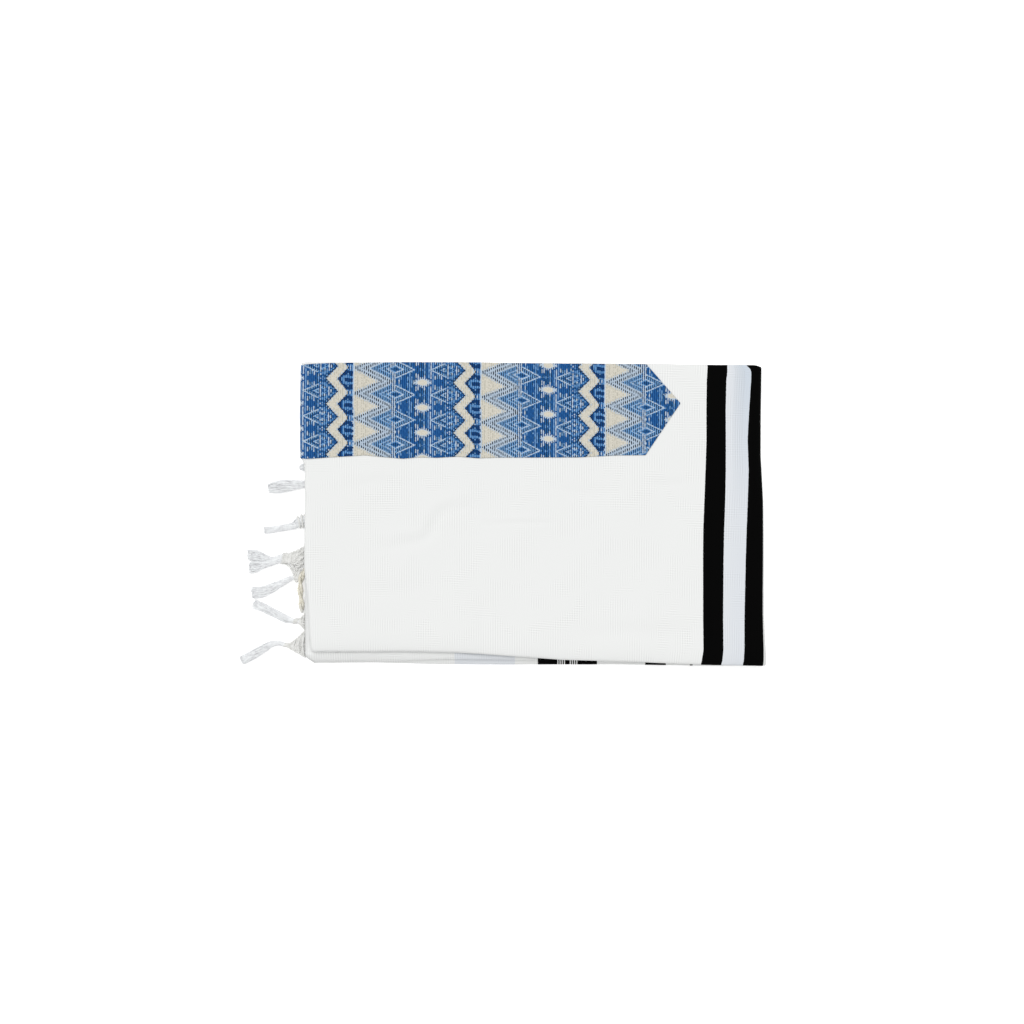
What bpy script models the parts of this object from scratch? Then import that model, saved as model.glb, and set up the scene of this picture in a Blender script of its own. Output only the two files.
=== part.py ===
"""A tallit, the fringed prayer shawl, folded flat into a packet of sixteen layers.

The shawl is folded in four across its height, which gives a strip of four plies. The strip is
folded at its centre, where the neckband turns round the left fold, and the doubled strip is folded
once more at the right. So four strips lie on each other: the top, second, third and bottom one. The
outermost ply of the top and bottom strips is one wall, the outer cloth. It starts under the second
strip, turns round the left fold, covers the top, turns round the right fold and lies flat under the
packet, as far as the fringed end. The plies inside it share one solid, layered at the edges.

Units are metres. +X is the packet's length, towards the striped fold, +Y is towards the neckband
and +Z is up. The origin is in the middle of the face that the packet rests on.
"""

import math
from collections import namedtuple

import bmesh
import bpy
import numpy as np

# Driving dimensions
PACKET_HEIGHT = 0.0190
STRIP_HEIGHT = 0.0044  # four plies
WALL = 0.0012  # one ply of the cloth
GAP = 0.0003  # between pieces that touch
BAND_WALL = 0.0010
LYING = 0.0002  # the fringe lies this far above the surface
NET_LIFT = 0.0004  # and the netting this much higher
CORD_DIAMETER = 0.0062  # two twisted strands
NET_THICKNESS = 0.0020

LEFT_RADIUS = 0.00435  # the fold that carries the neckband
RIGHT_RADIUS = PACKET_HEIGHT / 2
LEFT_CENTRE_X = -0.2300 + LEFT_RADIUS
RIGHT_CENTRE_X = 0.2300 - RIGHT_RADIUS
LOWER_END_X = -0.2222  # the fringed ends of the two lower strips
TUCK_LENGTH = 0.0220  # how far the cloth reaches in under the second strip

CURL_RADIUS = STRIP_HEIGHT / 2  # the front fold of a strip
CURL_RETURN = 0.0060
SMALL_RADIUS = 0.0016  # the same fold where it turns with the cloth round the left fold
SMALL_RETURN = 0.0020
CURL_BLEND = 0.0300  # the small front fold grows into the full one over this length

END_MARGIN = 0.0040  # no place of a straight stretch is nearer to its ends
TUCK_END_X = LEFT_CENTRE_X + TUCK_LENGTH
LEFT_STEPS = 6
RIGHT_STEPS = 8
CURL_STEPS = 6
PLY_INSET = 0.0010  # the plies inside the outer cloth end this far inside its back edge
NOSE_ROUND = 0.0004
ENDS_CHANGE_BELOW = 0.0006  # the upper strips' ends give way to the lower ones' this far below the middle
ENDS_CHANGE_HEIGHT = 0.0002
ROLL_CLEARANCE = 0.00005  # keeps the left fold's filling off the planes of the plies it joins
ROLL_OVERLAP = 0.0040

# The middle of the packet, where its plies lie too close together to tell apart
CORE_LEFT = -0.1900
CORE_RIGHT = 0.2050
CORE_FRONT = -0.1150
CORE_BACK = 0.1300
CORE_COVER = 0.0030  # the cloth above and below it

# Where the front fold of each strip lies, in y, for places along the packet
Front = namedtuple("Front", "x top second third bottom")
FRONT_FOLDS = (
    Front(-0.2305, -0.1383, -0.1374, -0.1480, -0.1503),
    Front(-0.1600, -0.1382, -0.1373, -0.1482, -0.1497),
    Front(-0.1365, -0.1380, -0.1371, -0.1482, -0.1501),
    Front(-0.0835, -0.1390, -0.1381, -0.1464, -0.1512),
    Front(-0.0335, -0.1425, -0.1410, -0.1470, -0.1518),
    Front(0.0235, -0.1466, -0.1446, -0.1482, -0.1516),
    Front(0.0865, -0.1482, -0.1462, -0.1490, -0.1517),
    Front(0.1665, -0.1516, -0.1494, -0.1497, -0.1527),
    Front(0.2305, -0.1528, -0.1500, -0.1501, -0.1529),
)

# Where the back edge of each strip lies, in y, for places along the packet
Back = namedtuple("Back", "x top second third bottom")
BACK_EDGES = (
    Back(-0.2305, 0.1514, 0.1500, 0.1496, 0.1510),
    Back(-0.1885, 0.1512, 0.1494, 0.1500, 0.1506),
    Back(-0.0400, 0.1506, 0.1490, 0.1486, 0.1500),
    Back(0.1065, 0.1500, 0.1480, 0.1488, 0.1494),
    Back(0.1485, 0.1488, 0.1476, 0.1480, 0.1484),
    Back(0.2305, 0.1484, 0.1474, 0.1472, 0.1482),
)

# Where the packet's ends lie, in x, for places across it: the left fold, the fringed ends of the
# lower strips and the right fold
Side = namedtuple("Side", "y left_fold lower_end right_fold")
ENDS = (
    Side(-0.1515, -0.2205, -0.2265, 0.2334),
    Side(-0.1415, -0.2218, -0.2288, 0.2332),
    Side(-0.1265, -0.2240, -0.2290, 0.2322),
    Side(-0.1005, -0.2252, -0.2290, 0.2311),
    Side(-0.0845, -0.2262, -0.2290, 0.2310),
    Side(-0.0640, -0.2286, -0.2290, 0.2310),
    Side(-0.0540, -0.2296, -0.2222, 0.2311),
    Side(-0.0225, -0.2296, -0.2222, 0.2310),
    Side(0.0100, -0.2287, -0.2222, 0.2306),
    Side(0.0490, -0.2294, -0.2222, 0.2284),
    Side(0.0560, -0.2326, -0.2222, 0.2279),
    Side(0.1000, -0.2328, -0.2222, 0.2280),
    Side(0.1515, -0.2319, -0.2222, 0.2288),
)

PANEL_ROWS = slice(2, -1)  # the ENDS rows whose y every panel has, whatever its edges
PANEL_COLUMNS = len(ENDS[PANEL_ROWS]) + 2

# The neckband's lower and upper edges, in y, for places along the packet, and its pointed end
Edge = namedtuple("Edge", "x lower upper")
BAND_EDGES = (
    Edge(-0.2305, 0.0560, 0.1478),
    Edge(-0.1885, 0.0562, 0.1502),
    Edge(-0.1000, 0.0558, 0.1500),
    Edge(0.0000, 0.0570, 0.1496),
    Edge(0.1142, 0.0592, 0.1492),
)
BAND_SHOULDER_X = 0.1142
BAND_TIP_X = 0.1479
BAND_TIP_SHARE = 0.57  # how far up the band's width its point lies
BAND_TUCK = 0.0080
BAND_COLUMNS = 7
BAND_ROWS = 8

# The fringe. A tassel is a row of sections from its root to its tip: the section's middle, its
# width, its height and how far its underside is raised
Section = namedtuple("Section", "x y width height raised")
TASSELS = {
    "tassel_1": (
        Section(-0.2230, 0.0480, 0.0070, 0.0040, 0.0020),
        Section(-0.2280, 0.0472, 0.0075, 0.0042, 0.0010),
        Section(-0.2325, 0.0462, 0.0070, 0.0038, 0.0),
        Section(-0.2352, 0.0448, 0.0036, 0.0024, 0.0),
    ),
    "tassel_2": (
        Section(-0.2226, 0.0297, 0.0066, 0.0040, 0.0020),
        Section(-0.2285, 0.0297, 0.0068, 0.0042, 0.0010),
        Section(-0.2425, 0.0283, 0.0110, 0.0050, 0.0),
        Section(-0.2535, 0.0272, 0.0135, 0.0052, 0.0),
        Section(-0.2615, 0.0257, 0.0118, 0.0044, 0.0),
        Section(-0.2658, 0.0250, 0.0076, 0.0030, 0.0),
    ),
    "tassel_3": (
        Section(-0.2231, -0.0060, 0.0090, 0.0044, 0.0018),
        Section(-0.2300, -0.0072, 0.0140, 0.0058, 0.0006),
        Section(-0.2365, -0.0090, 0.0130, 0.0058, 0.0),
        Section(-0.2405, -0.0122, 0.0080, 0.0046, 0.0),
        Section(-0.2565, -0.0152, 0.0068, 0.0040, 0.0),
        Section(-0.2655, -0.0165, 0.0076, 0.0036, 0.0),
        Section(-0.2700, -0.0168, 0.0066, 0.0026, 0.0),
    ),
    "tassel_4": (
        Section(-0.2428, -0.0448, 0.0110, 0.0056, 0.0),
        Section(-0.2485, -0.0450, 0.0124, 0.0062, 0.0),
        Section(-0.2530, -0.0452, 0.0112, 0.0058, 0.0),
        Section(-0.2560, -0.0458, 0.0086, 0.0044, 0.0),
        Section(-0.2625, -0.0480, 0.0090, 0.0042, 0.0),
        Section(-0.2695, -0.0480, 0.0150, 0.0042, 0.0),
        Section(-0.2785, -0.0478, 0.0230, 0.0038, 0.0),
        Section(-0.2862, -0.0482, 0.0220, 0.0026, 0.0),
    ),
    "tassel_5": (
        Section(-0.2408, -0.0636, 0.0040, 0.0030, 0.0),
        Section(-0.2446, -0.0656, 0.0058, 0.0040, 0.0),
        Section(-0.2535, -0.0700, 0.0074, 0.0044, 0.0),
        Section(-0.2635, -0.0752, 0.0098, 0.0044, 0.0),
        Section(-0.2710, -0.0790, 0.0112, 0.0040, 0.0),
        Section(-0.2790, -0.0816, 0.0120, 0.0030, 0.0),
    ),
    "tassel_6": (
        Section(-0.2294, -0.1088, 0.0186, 0.0030, 0.0),
        Section(-0.2320, -0.1088, 0.0130, 0.0034, 0.0),
        Section(-0.2352, -0.1081, 0.0056, 0.0044, 0.0),
        Section(-0.2395, -0.1080, 0.0064, 0.0052, 0.0),
        Section(-0.2420, -0.1078, 0.0054, 0.0042, 0.0),
        Section(-0.2485, -0.1060, 0.0080, 0.0042, 0.0),
        Section(-0.2585, -0.1010, 0.0088, 0.0042, 0.0),
        Section(-0.2685, -0.0958, 0.0094, 0.0040, 0.0),
        Section(-0.2745, -0.0932, 0.0086, 0.0032, 0.0),
        Section(-0.2785, -0.0920, 0.0072, 0.0024, 0.0),
    ),
    "tassel_7": (
        Section(-0.2470, -0.1322, 0.0048, 0.0046, 0.0),
        Section(-0.2495, -0.1318, 0.0052, 0.0044, 0.0),
        Section(-0.2565, -0.1302, 0.0052, 0.0040, 0.0),
        Section(-0.2635, -0.1316, 0.0070, 0.0042, 0.0),
        Section(-0.2720, -0.1360, 0.0090, 0.0044, 0.0),
        Section(-0.2820, -0.1420, 0.0098, 0.0040, 0.0),
        Section(-0.2900, -0.1462, 0.0098, 0.0032, 0.0),
        Section(-0.2930, -0.1476, 0.0080, 0.0022, 0.0),
    ),
}
TASSEL_SIDES = 10

# The outlines of the knotted netting between the cloth's end and the tassels
Corner = namedtuple("Corner", "x y")
UPPER_NET = (
    Corner(-0.2422, -0.0396),
    Corner(-0.2385, -0.0384),
    Corner(-0.2290, -0.0306),
    Corner(-0.2226, -0.0276),
    Corner(-0.2226, -0.0500),
    Corner(-0.2312, -0.0520),
    Corner(-0.2330, -0.0556),
    Corner(-0.2362, -0.0618),
    Corner(-0.2380, -0.0692),
    Corner(-0.2394, -0.0650),
    Corner(-0.2402, -0.0602),
    Corner(-0.2436, -0.0560),
    Corner(-0.2462, -0.0530),
    Corner(-0.2422, -0.0514),
)
CORNER_NET = (
    Corner(-0.2306, -0.1188),
    Corner(-0.2369, -0.1267),
    Corner(-0.2430, -0.1306),
    Corner(-0.2464, -0.1318),
    Corner(-0.2464, -0.1330),
    Corner(-0.2385, -0.1384),
    Corner(-0.2301, -0.1434),
    Corner(-0.2294, -0.1438),
    Corner(-0.2294, -0.1188),
)

# The corner tassel's cord, from where it comes out under the fold to where it goes back
RoutePoint = namedtuple("RoutePoint", "x y z")
CORD_ROUTE = (
    RoutePoint(-0.2270, -0.0535, 0.0048),
    RoutePoint(-0.2289, -0.0563, 0.0043),
    RoutePoint(-0.2307, -0.0592, 0.0039),
    RoutePoint(-0.2323, -0.0623, 0.0036),
    RoutePoint(-0.2334, -0.0656, 0.0035),
    RoutePoint(-0.2340, -0.0690, 0.0034),
    RoutePoint(-0.2342, -0.0724, 0.0034),
    RoutePoint(-0.2342, -0.0758, 0.0034),
    RoutePoint(-0.2340, -0.0792, 0.0034),
    RoutePoint(-0.2338, -0.0826, 0.0034),
    RoutePoint(-0.2335, -0.0860, 0.0034),
    RoutePoint(-0.2332, -0.0893, 0.0034),
    RoutePoint(-0.2329, -0.0925, 0.0034),
    RoutePoint(-0.2327, -0.0956, 0.0034),
    RoutePoint(-0.2327, -0.0989, 0.0034),
)
CORD_STEP = 0.0040
CURVE_STEPS = 8  # between two route points, before they are spaced evenly


def column(table, key, at, value):
    """Reads one column of a table at any place, straight between its rows."""
    places = [getattr(row, key) for row in table]
    values = [getattr(row, value) for row in table]
    return np.interp(at, places, values)


def ends_settled(points):
    """Moves points along x so that the straight packet takes the slanted ends in the ENDS table.

    The left end moves by the left fold's place above the third strip and by the fringed ends'
    place below it, the right end moves by the right fold's place, and all between is shared out.
    """
    x, y, z = points.T
    middle = PACKET_HEIGHT / 2
    fold = column(ENDS, "y", y, "left_fold") - (LEFT_CENTRE_X - LEFT_RADIUS)
    lower = column(ENDS, "y", y, "lower_end") - LOWER_END_X
    upper_part = np.clip((z - middle + ENDS_CHANGE_BELOW) / ENDS_CHANGE_HEIGHT, 0, 1)
    left = lower + (fold - lower) * upper_part
    right = column(ENDS, "y", y, "right_fold") - (RIGHT_CENTRE_X + RIGHT_RADIUS)
    along = np.clip((x - LEFT_CENTRE_X) / (RIGHT_CENTRE_X - LEFT_CENTRE_X), 0, 1)
    return np.column_stack([x + left * (1 - along) + right * along, y, z])


# The spine is the outer cloth's line seen from the front: places on its outer face, with the
# outward normal and the strip that the place is part of
Spine = namedtuple("Spine", "x z normal_x normal_z strip arc")


def straight(start_x, end_x, z, normal_z, strip):
    """Spine places from start_x to end_x, where an edge table has a row or a ply starts."""
    inner = [row.x for row in FRONT_FOLDS + BACK_EDGES]
    inner += [TUCK_END_X + GAP, TUCK_END_X + 6 * GAP, LEFT_CENTRE_X + CURL_BLEND]
    low, high = sorted((start_x, end_x))
    places = sorted({x for x in inner if low + END_MARGIN < x < high - END_MARGIN})
    places = [low] + places + [high]
    if start_x > end_x:
        places.reverse()
    return [Spine(x, z, 0.0, normal_z, strip, 0.0) for x in places]


def bend(centre_x, centre_z, radius, start, end, steps, strip):
    """Spine places round a fold, from angle start to angle end, with neither end's place."""
    places = []
    for step in range(1, steps):
        angle = math.radians(start + (end - start) * step / steps)
        normal_x = math.cos(angle)
        normal_z = math.sin(angle)
        places.append(
            Spine(centre_x + radius * normal_x, centre_z + radius * normal_z,
                  normal_x, normal_z, strip, step / steps)
        )
    return places


def left_turn(start_x):
    """The spine from under the second strip to the top of the left fold."""
    tuck_z = PACKET_HEIGHT - 2 * LEFT_RADIUS
    tucked = [
        Spine(start_x, tuck_z, 0.0, -1.0, "second", 0.0),
        Spine(LEFT_CENTRE_X, tuck_z, 0.0, -1.0, "second", 0.0),
    ]
    turn = bend(LEFT_CENTRE_X, PACKET_HEIGHT - LEFT_RADIUS, LEFT_RADIUS, 270, 90, LEFT_STEPS, "left")
    return tucked + turn


def right_turn(upper, lower):
    """The spine over the top, round the right fold and back under the packet."""
    over = straight(LEFT_CENTRE_X, RIGHT_CENTRE_X, PACKET_HEIGHT, 1.0, upper)
    turn = bend(RIGHT_CENTRE_X, RIGHT_RADIUS, RIGHT_RADIUS, 90, -90, RIGHT_STEPS, upper + lower)
    under = straight(RIGHT_CENTRE_X, LOWER_END_X, 0.0, -1.0, lower)
    return over + turn + under


def edge_at(table, place):
    """The y of an edge table at a spine place, shared between two strips round a fold."""
    pairs = {"left": ("second", "top"), "topbottom": ("top", "bottom"), "secondthird": ("second", "third")}
    first, last = pairs.get(place.strip, (place.strip, place.strip))
    start = column(table, "x", place.x, first)
    end = column(table, "x", place.x, last)
    return start + (end - start) * place.arc


def at_depth(place, y, depth):
    """Points at these y and this far inside the spine place."""
    y = np.asarray(y, float)
    depth = np.asarray(depth, float)
    return np.column_stack([place.x - place.normal_x * depth, y, place.z - place.normal_z * depth])


def front_curl(place):
    """Share, radius and straight return of the cloth's front fold at a spine place.

    The fold is a half turn, small where it goes round the left fold and full from there on.
    """
    share = 1.0
    if place.strip in ("second", "left"):
        share = 0.0
    elif place.strip == "top":
        share = float(np.clip((place.x - LEFT_CENTRE_X) / CURL_BLEND, 0, 1))
    radius = SMALL_RADIUS + (CURL_RADIUS - SMALL_RADIUS) * share
    returned = SMALL_RETURN + (CURL_RETURN - SMALL_RETURN) * share
    return share, radius, returned


def panel(back, front):
    """The y of a panel's columns, from its back edge to its front one, with the ENDS rows between."""
    rows = [row.y for row in ENDS[PANEL_ROWS]][::-1]
    return np.array([back] + rows + [front])


def cloth_section(place):
    """The outer cloth's row of points at a spine place: panel, front fold and its return."""
    _, radius, returned = front_curl(place)
    front = edge_at(FRONT_FOLDS, place)
    panel_y = panel(edge_at(BACK_EDGES, place), front + radius)
    angle = math.pi * np.arange(1, CURL_STEPS + 1) / CURL_STEPS
    curl_y = front + radius - radius * np.sin(angle)
    curl_depth = radius * (1 - np.cos(angle))
    y = np.concatenate([panel_y, curl_y, [curl_y[-1] + returned]])
    depth = np.concatenate([np.zeros(PANEL_COLUMNS), curl_depth, [2 * radius]])
    return at_depth(place, y, depth)


def top_leaf_section(place):
    """The plies inside the outer cloth: full inside the strip, thin where they enter its front fold."""
    share, radius, returned = front_curl(place)
    back = edge_at(BACK_EDGES, place) - PLY_INSET
    front = edge_at(FRONT_FOLDS, place)
    outer = WALL + GAP
    thin = 2 * radius - outer
    full = STRIP_HEIGHT
    step_y = front + radius + returned + 2 * GAP
    nose_y = step_y - NOSE_ROUND + (front + outer + NOSE_ROUND - step_y) * share
    outer_y = panel(back, nose_y + NOSE_ROUND)
    full_y = panel(back, step_y + PLY_INSET)[::-1]
    middle = (outer + thin) / 2
    y = np.concatenate([
        outer_y, [nose_y, nose_y + NOSE_ROUND, step_y], full_y, [back + NOSE_ROUND],
    ])
    depth = np.concatenate([
        np.full(PANEL_COLUMNS, outer), [middle, thin, thin], np.full(PANEL_COLUMNS, full),
        [(outer + full) / 2],
    ])
    return at_depth(place, y, depth)


def inner_leaf_section(place):
    """The second and third strips: a slab with rounded front and back edges."""
    back = edge_at(BACK_EDGES, place)
    front = edge_at(FRONT_FOLDS, place)
    outer = STRIP_HEIGHT + GAP
    inner = 2 * LEFT_RADIUS
    if place.strip == "second" and place.x < TUCK_END_X + 2 * GAP:
        inner -= WALL + GAP
        front += SMALL_RADIUS + SMALL_RETURN + 2 * GAP
    half = (inner - outer) / 2
    round_angles = np.radians([60, 30, 0, -30, -60])
    front_y = front + half - half * np.cos(round_angles)
    round_depth = outer + half - half * np.sin(round_angles)
    panel_y = panel(back - half, front + half)
    back_y = back - half + half * np.cos(round_angles)
    y = np.concatenate([panel_y, front_y, panel_y[::-1], back_y])
    depth = np.concatenate([
        np.full(PANEL_COLUMNS, outer), round_depth, np.full(PANEL_COLUMNS, inner), round_depth[::-1],
    ])
    return at_depth(place, y, depth)


def mesh_object(name, points, faces, collection):
    mesh = bpy.data.meshes.new(name)
    mesh.from_pydata([tuple(point) for point in points], [], faces)
    obj = bpy.data.objects.new(name, mesh)
    collection.objects.link(obj)
    return obj


def lofted_faces(rows, columns, closed):
    """Four-sided faces between rows of points, and round each row if it is closed."""
    last = columns if closed else columns - 1
    return [
        (row * columns + k, row * columns + (k + 1) % columns,
         (row + 1) * columns + (k + 1) % columns, (row + 1) * columns + k)
        for row in range(rows - 1)
        for k in range(last)
    ]


def face_outwards(obj):
    """Splits the end faces into triangles while they are flat, and turns all faces outwards."""
    work = bmesh.new()
    work.from_mesh(obj.data)
    ends = [face for face in work.faces if len(face.verts) > 4]
    bmesh.ops.triangulate(work, faces=ends)
    bmesh.ops.recalc_face_normals(work, faces=work.faces)
    work.to_mesh(obj.data)
    work.free()


def solid_from_rings(name, rings, collection):
    """A closed solid through rings of points, with a flat face over each end."""
    count = len(rings[0])
    faces = lofted_faces(len(rings), count, closed=True)
    faces.append(tuple(range(count))[::-1])
    faces.append(tuple(range((len(rings) - 1) * count, len(rings) * count)))
    obj = mesh_object(name, np.concatenate(rings), faces, collection)
    face_outwards(obj)
    return obj


def wall_from_rows(name, rows, thickness, side, collection):
    """An open sheet through rows of points with a Solidify wall, inwards for side -1."""
    faces = lofted_faces(len(rows), len(rows[0]), closed=False)
    obj = mesh_object(name, np.concatenate(rows), faces, collection)
    wall = obj.modifiers.new("Wall", "SOLIDIFY")
    wall.thickness = thickness
    wall.offset = side
    wall.use_even_offset = True
    return obj


def finish(obj, name, colour, roughness):
    """Gives a piece its own cloth material."""
    material = bpy.data.materials.new(name)
    material.use_nodes = True
    shader = material.node_tree.nodes["Principled BSDF"]
    shader.inputs["Base Color"].default_value = (*colour, 1.0)
    shader.inputs["Roughness"].default_value = roughness
    shader.inputs["Metallic"].default_value = 0.0
    obj.data.materials.clear()
    obj.data.materials.append(material)


def make_outer_cloth(collection):
    spine = left_turn(TUCK_END_X) + right_turn("top", "bottom")
    rows = [ends_settled(cloth_section(place)) for place in spine]
    obj = wall_from_rows("outer_cloth", rows, WALL, -1, collection)
    finish(obj, "white_cloth", (0.86, 0.86, 0.86), 0.9)


def make_left_roll(collection):
    """The plies inside the left fold: a rod from the front fold to the back edge."""
    radius = LEFT_RADIUS - WALL - GAP - ROLL_CLEARANCE
    centre_z = PACKET_HEIGHT - LEFT_RADIUS
    front = column(FRONT_FOLDS, "x", LEFT_CENTRE_X, "top") + SMALL_RADIUS + SMALL_RETURN + 3 * GAP
    back = column(BACK_EDGES, "x", LEFT_CENTRE_X, "second") - PLY_INSET
    angles = np.radians(np.arange(90, 271, 180 / LEFT_STEPS))
    inside_x = LEFT_CENTRE_X + ROLL_OVERLAP
    x = np.concatenate([[inside_x], LEFT_CENTRE_X + radius * np.cos(angles), [inside_x]])
    z = np.concatenate([[centre_z + radius], centre_z + radius * np.sin(angles), [centre_z - radius]])
    rings = [
        np.column_stack([x, np.full(len(x), y), z])
        for y in panel(back, front)
    ]
    return solid_from_rings("left_roll", rings, collection)


def make_core(collection):
    """The plies in the middle of the packet, well inside its edges."""
    low = (CORE_LEFT, CORE_FRONT, CORE_COVER)
    high = (CORE_RIGHT, CORE_BACK, PACKET_HEIGHT - CORE_COVER)
    work = bmesh.new()
    bmesh.ops.create_cube(work, size=1.0)
    for vertex in work.verts:
        share = [part + 0.5 for part in vertex.co]
        vertex.co = [a + (b - a) * s for a, b, s in zip(low, high, share)]
    mesh = bpy.data.meshes.new("core")
    work.to_mesh(mesh)
    work.free()
    obj = bpy.data.objects.new("core", mesh)
    collection.objects.link(obj)
    return obj


def make_inner_folds(collection, cutters):
    """All the plies inside the outer cloth, joined into one solid that is layered at its edges."""
    outer_rings = [top_leaf_section(place) for place in right_turn("top", "bottom")]
    inner_rings = [inner_leaf_section(place) for place in right_turn("second", "third")]
    obj = solid_from_rings("inner_folds", outer_rings, collection)
    others = [
        solid_from_rings("inner_strips", inner_rings, cutters),
        make_left_roll(cutters),
        make_core(cutters),
    ]
    for other in others:
        other.hide_render = True
        other.display_type = "WIRE"
    for piece in [obj] + others:
        points = np.empty(len(piece.data.vertices) * 3)
        piece.data.vertices.foreach_get("co", points)
        piece.data.vertices.foreach_set("co", ends_settled(points.reshape(-1, 3)).ravel())
    for other in others:
        joined = obj.modifiers.new(other.name, "BOOLEAN")
        joined.operation = "UNION"
        joined.solver = "MANIFOLD"  # the exact solver leaves open edges where the thin plies meet
        joined.object = other
    finish(obj, "folded_cloth", (0.80, 0.80, 0.80), 0.9)


def make_neckband(collection):
    """The neckband lies on the outer cloth's points, moved out, from under the left fold to its tip."""
    shares = np.unique(np.append(np.linspace(0, 1, BAND_COLUMNS), BAND_TIP_SHARE))
    turn = left_turn(LEFT_CENTRE_X + BAND_TUCK)
    rows = []
    for place in turn:
        lower = column(BAND_EDGES, "x", place.x, "lower")
        upper = column(BAND_EDGES, "x", place.x, "upper")
        rows.append(at_depth(place, lower + (upper - lower) * shares, np.full(len(shares), -GAP)))
    reach = np.where(shares < BAND_TIP_SHARE, shares / BAND_TIP_SHARE, (1 - shares) / (1 - BAND_TIP_SHARE))
    end_x = BAND_SHOULDER_X + (BAND_TIP_X - BAND_SHOULDER_X) * reach
    top_z = PACKET_HEIGHT + GAP
    for along in np.linspace(0, 1, BAND_ROWS):
        x = LEFT_CENTRE_X + (end_x - LEFT_CENTRE_X) * along
        lower = column(BAND_EDGES, "x", x, "lower")
        upper = column(BAND_EDGES, "x", x, "upper")
        rows.append(np.column_stack([x, lower + (upper - lower) * shares, np.full(len(x), top_z)]))
    rows = [ends_settled(row)[::-1] for row in rows]
    obj = wall_from_rows("neckband", rows, BAND_WALL, 1, collection)
    finish(obj, "neckband_weave", (0.16, 0.26, 0.38), 0.85)


def make_tassel(name, sections, collection):
    """A tassel's reach: rounded sections across its line, flattened where it lies."""
    middles = np.array([(s.x, s.y) for s in sections])
    along = np.gradient(middles, axis=0)
    along /= np.linalg.norm(along, axis=1)[:, None]
    across = np.column_stack([-along[:, 1], along[:, 0]])
    angles = 2 * math.pi * (np.arange(TASSEL_SIDES) + 0.5) / TASSEL_SIDES
    rings = []
    for section, middle, side in zip(sections, middles, across):
        offset = section.width / 2 * np.cos(angles) / math.cos(math.pi / TASSEL_SIDES)
        lift = LYING + section.raised + section.height / 2 * (1 + np.sin(angles))
        rings.append(np.column_stack([middle[0] + side[0] * offset, middle[1] + side[1] * offset, lift]))
    obj = solid_from_rings(name, rings, collection)
    finish(obj, name + "_yarn", (0.70, 0.72, 0.75), 0.95)


def make_net(name, outline, collection):
    """A flat piece of netting in its outline."""
    curve = bpy.data.curves.new(name, "CURVE")
    curve.dimensions = "2D"
    curve.fill_mode = "BOTH"
    curve.extrude = NET_THICKNESS / 2
    spline = curve.splines.new("POLY")
    spline.points.add(len(outline) - 1)
    for point, corner in zip(spline.points, outline):
        point.co = (corner.x, corner.y, 0.0, 1.0)
    spline.use_cyclic_u = True
    obj = bpy.data.objects.new(name, curve)
    obj.location.z = LYING + NET_LIFT + NET_THICKNESS / 2
    collection.objects.link(obj)
    finish(obj, name + "_yarn", (0.74, 0.74, 0.72), 0.95)


def smooth_route(route, step):
    """Points about a step apart on the smooth curve through a route's own points."""
    points = np.array(route)
    padded = np.vstack([2 * points[0] - points[1], points, 2 * points[-1] - points[-2]])
    smooth = []
    for a, b, c, d in zip(padded, padded[1:], padded[2:], padded[3:]):
        for t in np.linspace(0, 1, CURVE_STEPS, endpoint=False):
            smooth.append(
                0.5 * (2 * b + (c - a) * t + (2 * a - 5 * b + 4 * c - d) * t**2
                       + (3 * b - a - 3 * c + d) * t**3)
            )
    smooth = np.array(smooth + [points[-1]])
    reached = np.append(0, np.cumsum(np.linalg.norm(np.diff(smooth, axis=0), axis=1)))
    places = np.linspace(0, reached[-1], round(reached[-1] / step) + 1)
    return np.column_stack([np.interp(places, reached, smooth[:, k]) for k in range(3)])


def make_corner_cord(collection):
    """The twisted cord of the corner tassel, as a plain tube."""
    points = smooth_route(CORD_ROUTE, CORD_STEP)
    curve = bpy.data.curves.new("corner_cord", "CURVE")
    curve.dimensions = "3D"
    curve.bevel_depth = CORD_DIAMETER / 2
    curve.bevel_resolution = 3
    curve.use_fill_caps = True
    spline = curve.splines.new("POLY")
    spline.points.add(len(points) - 1)
    for point, place in zip(spline.points, points):
        point.co = (*place, 1.0)
    obj = bpy.data.objects.new("corner_cord", curve)
    collection.objects.link(obj)
    finish(obj, "corner_cord_wool", (0.62, 0.58, 0.50), 0.95)


def new_collection(name):
    collection = bpy.data.collections.new(name)
    bpy.context.scene.collection.children.link(collection)
    return collection


def main():
    for obj in list(bpy.data.objects):
        bpy.data.objects.remove(obj, do_unlink=True)
    shawl = new_collection("tallit")
    cutters = new_collection("tallit_cutters")
    make_outer_cloth(shawl)
    make_inner_folds(shawl, cutters)
    make_neckband(shawl)
    for name, sections in TASSELS.items():
        make_tassel(name, sections, shawl)
    make_net("upper_net", UPPER_NET, shawl)
    make_net("corner_net", CORNER_NET, shawl)
    make_corner_cord(shawl)


main()
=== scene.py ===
"""The looks of a tallit that is folded flat: white wool cloth with woven stripes, a jacquard
neckband, a knotted fringe and the twisted cord of a corner tassel.

Every piece is a surface worked out on a grid. The cloth follows one line round the packet's
folds: a place on it is its distance along the shawl from the centre fold, its distance across, and
its depth below the outermost ply. Units are metres.
"""

import math
from collections import namedtuple

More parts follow.
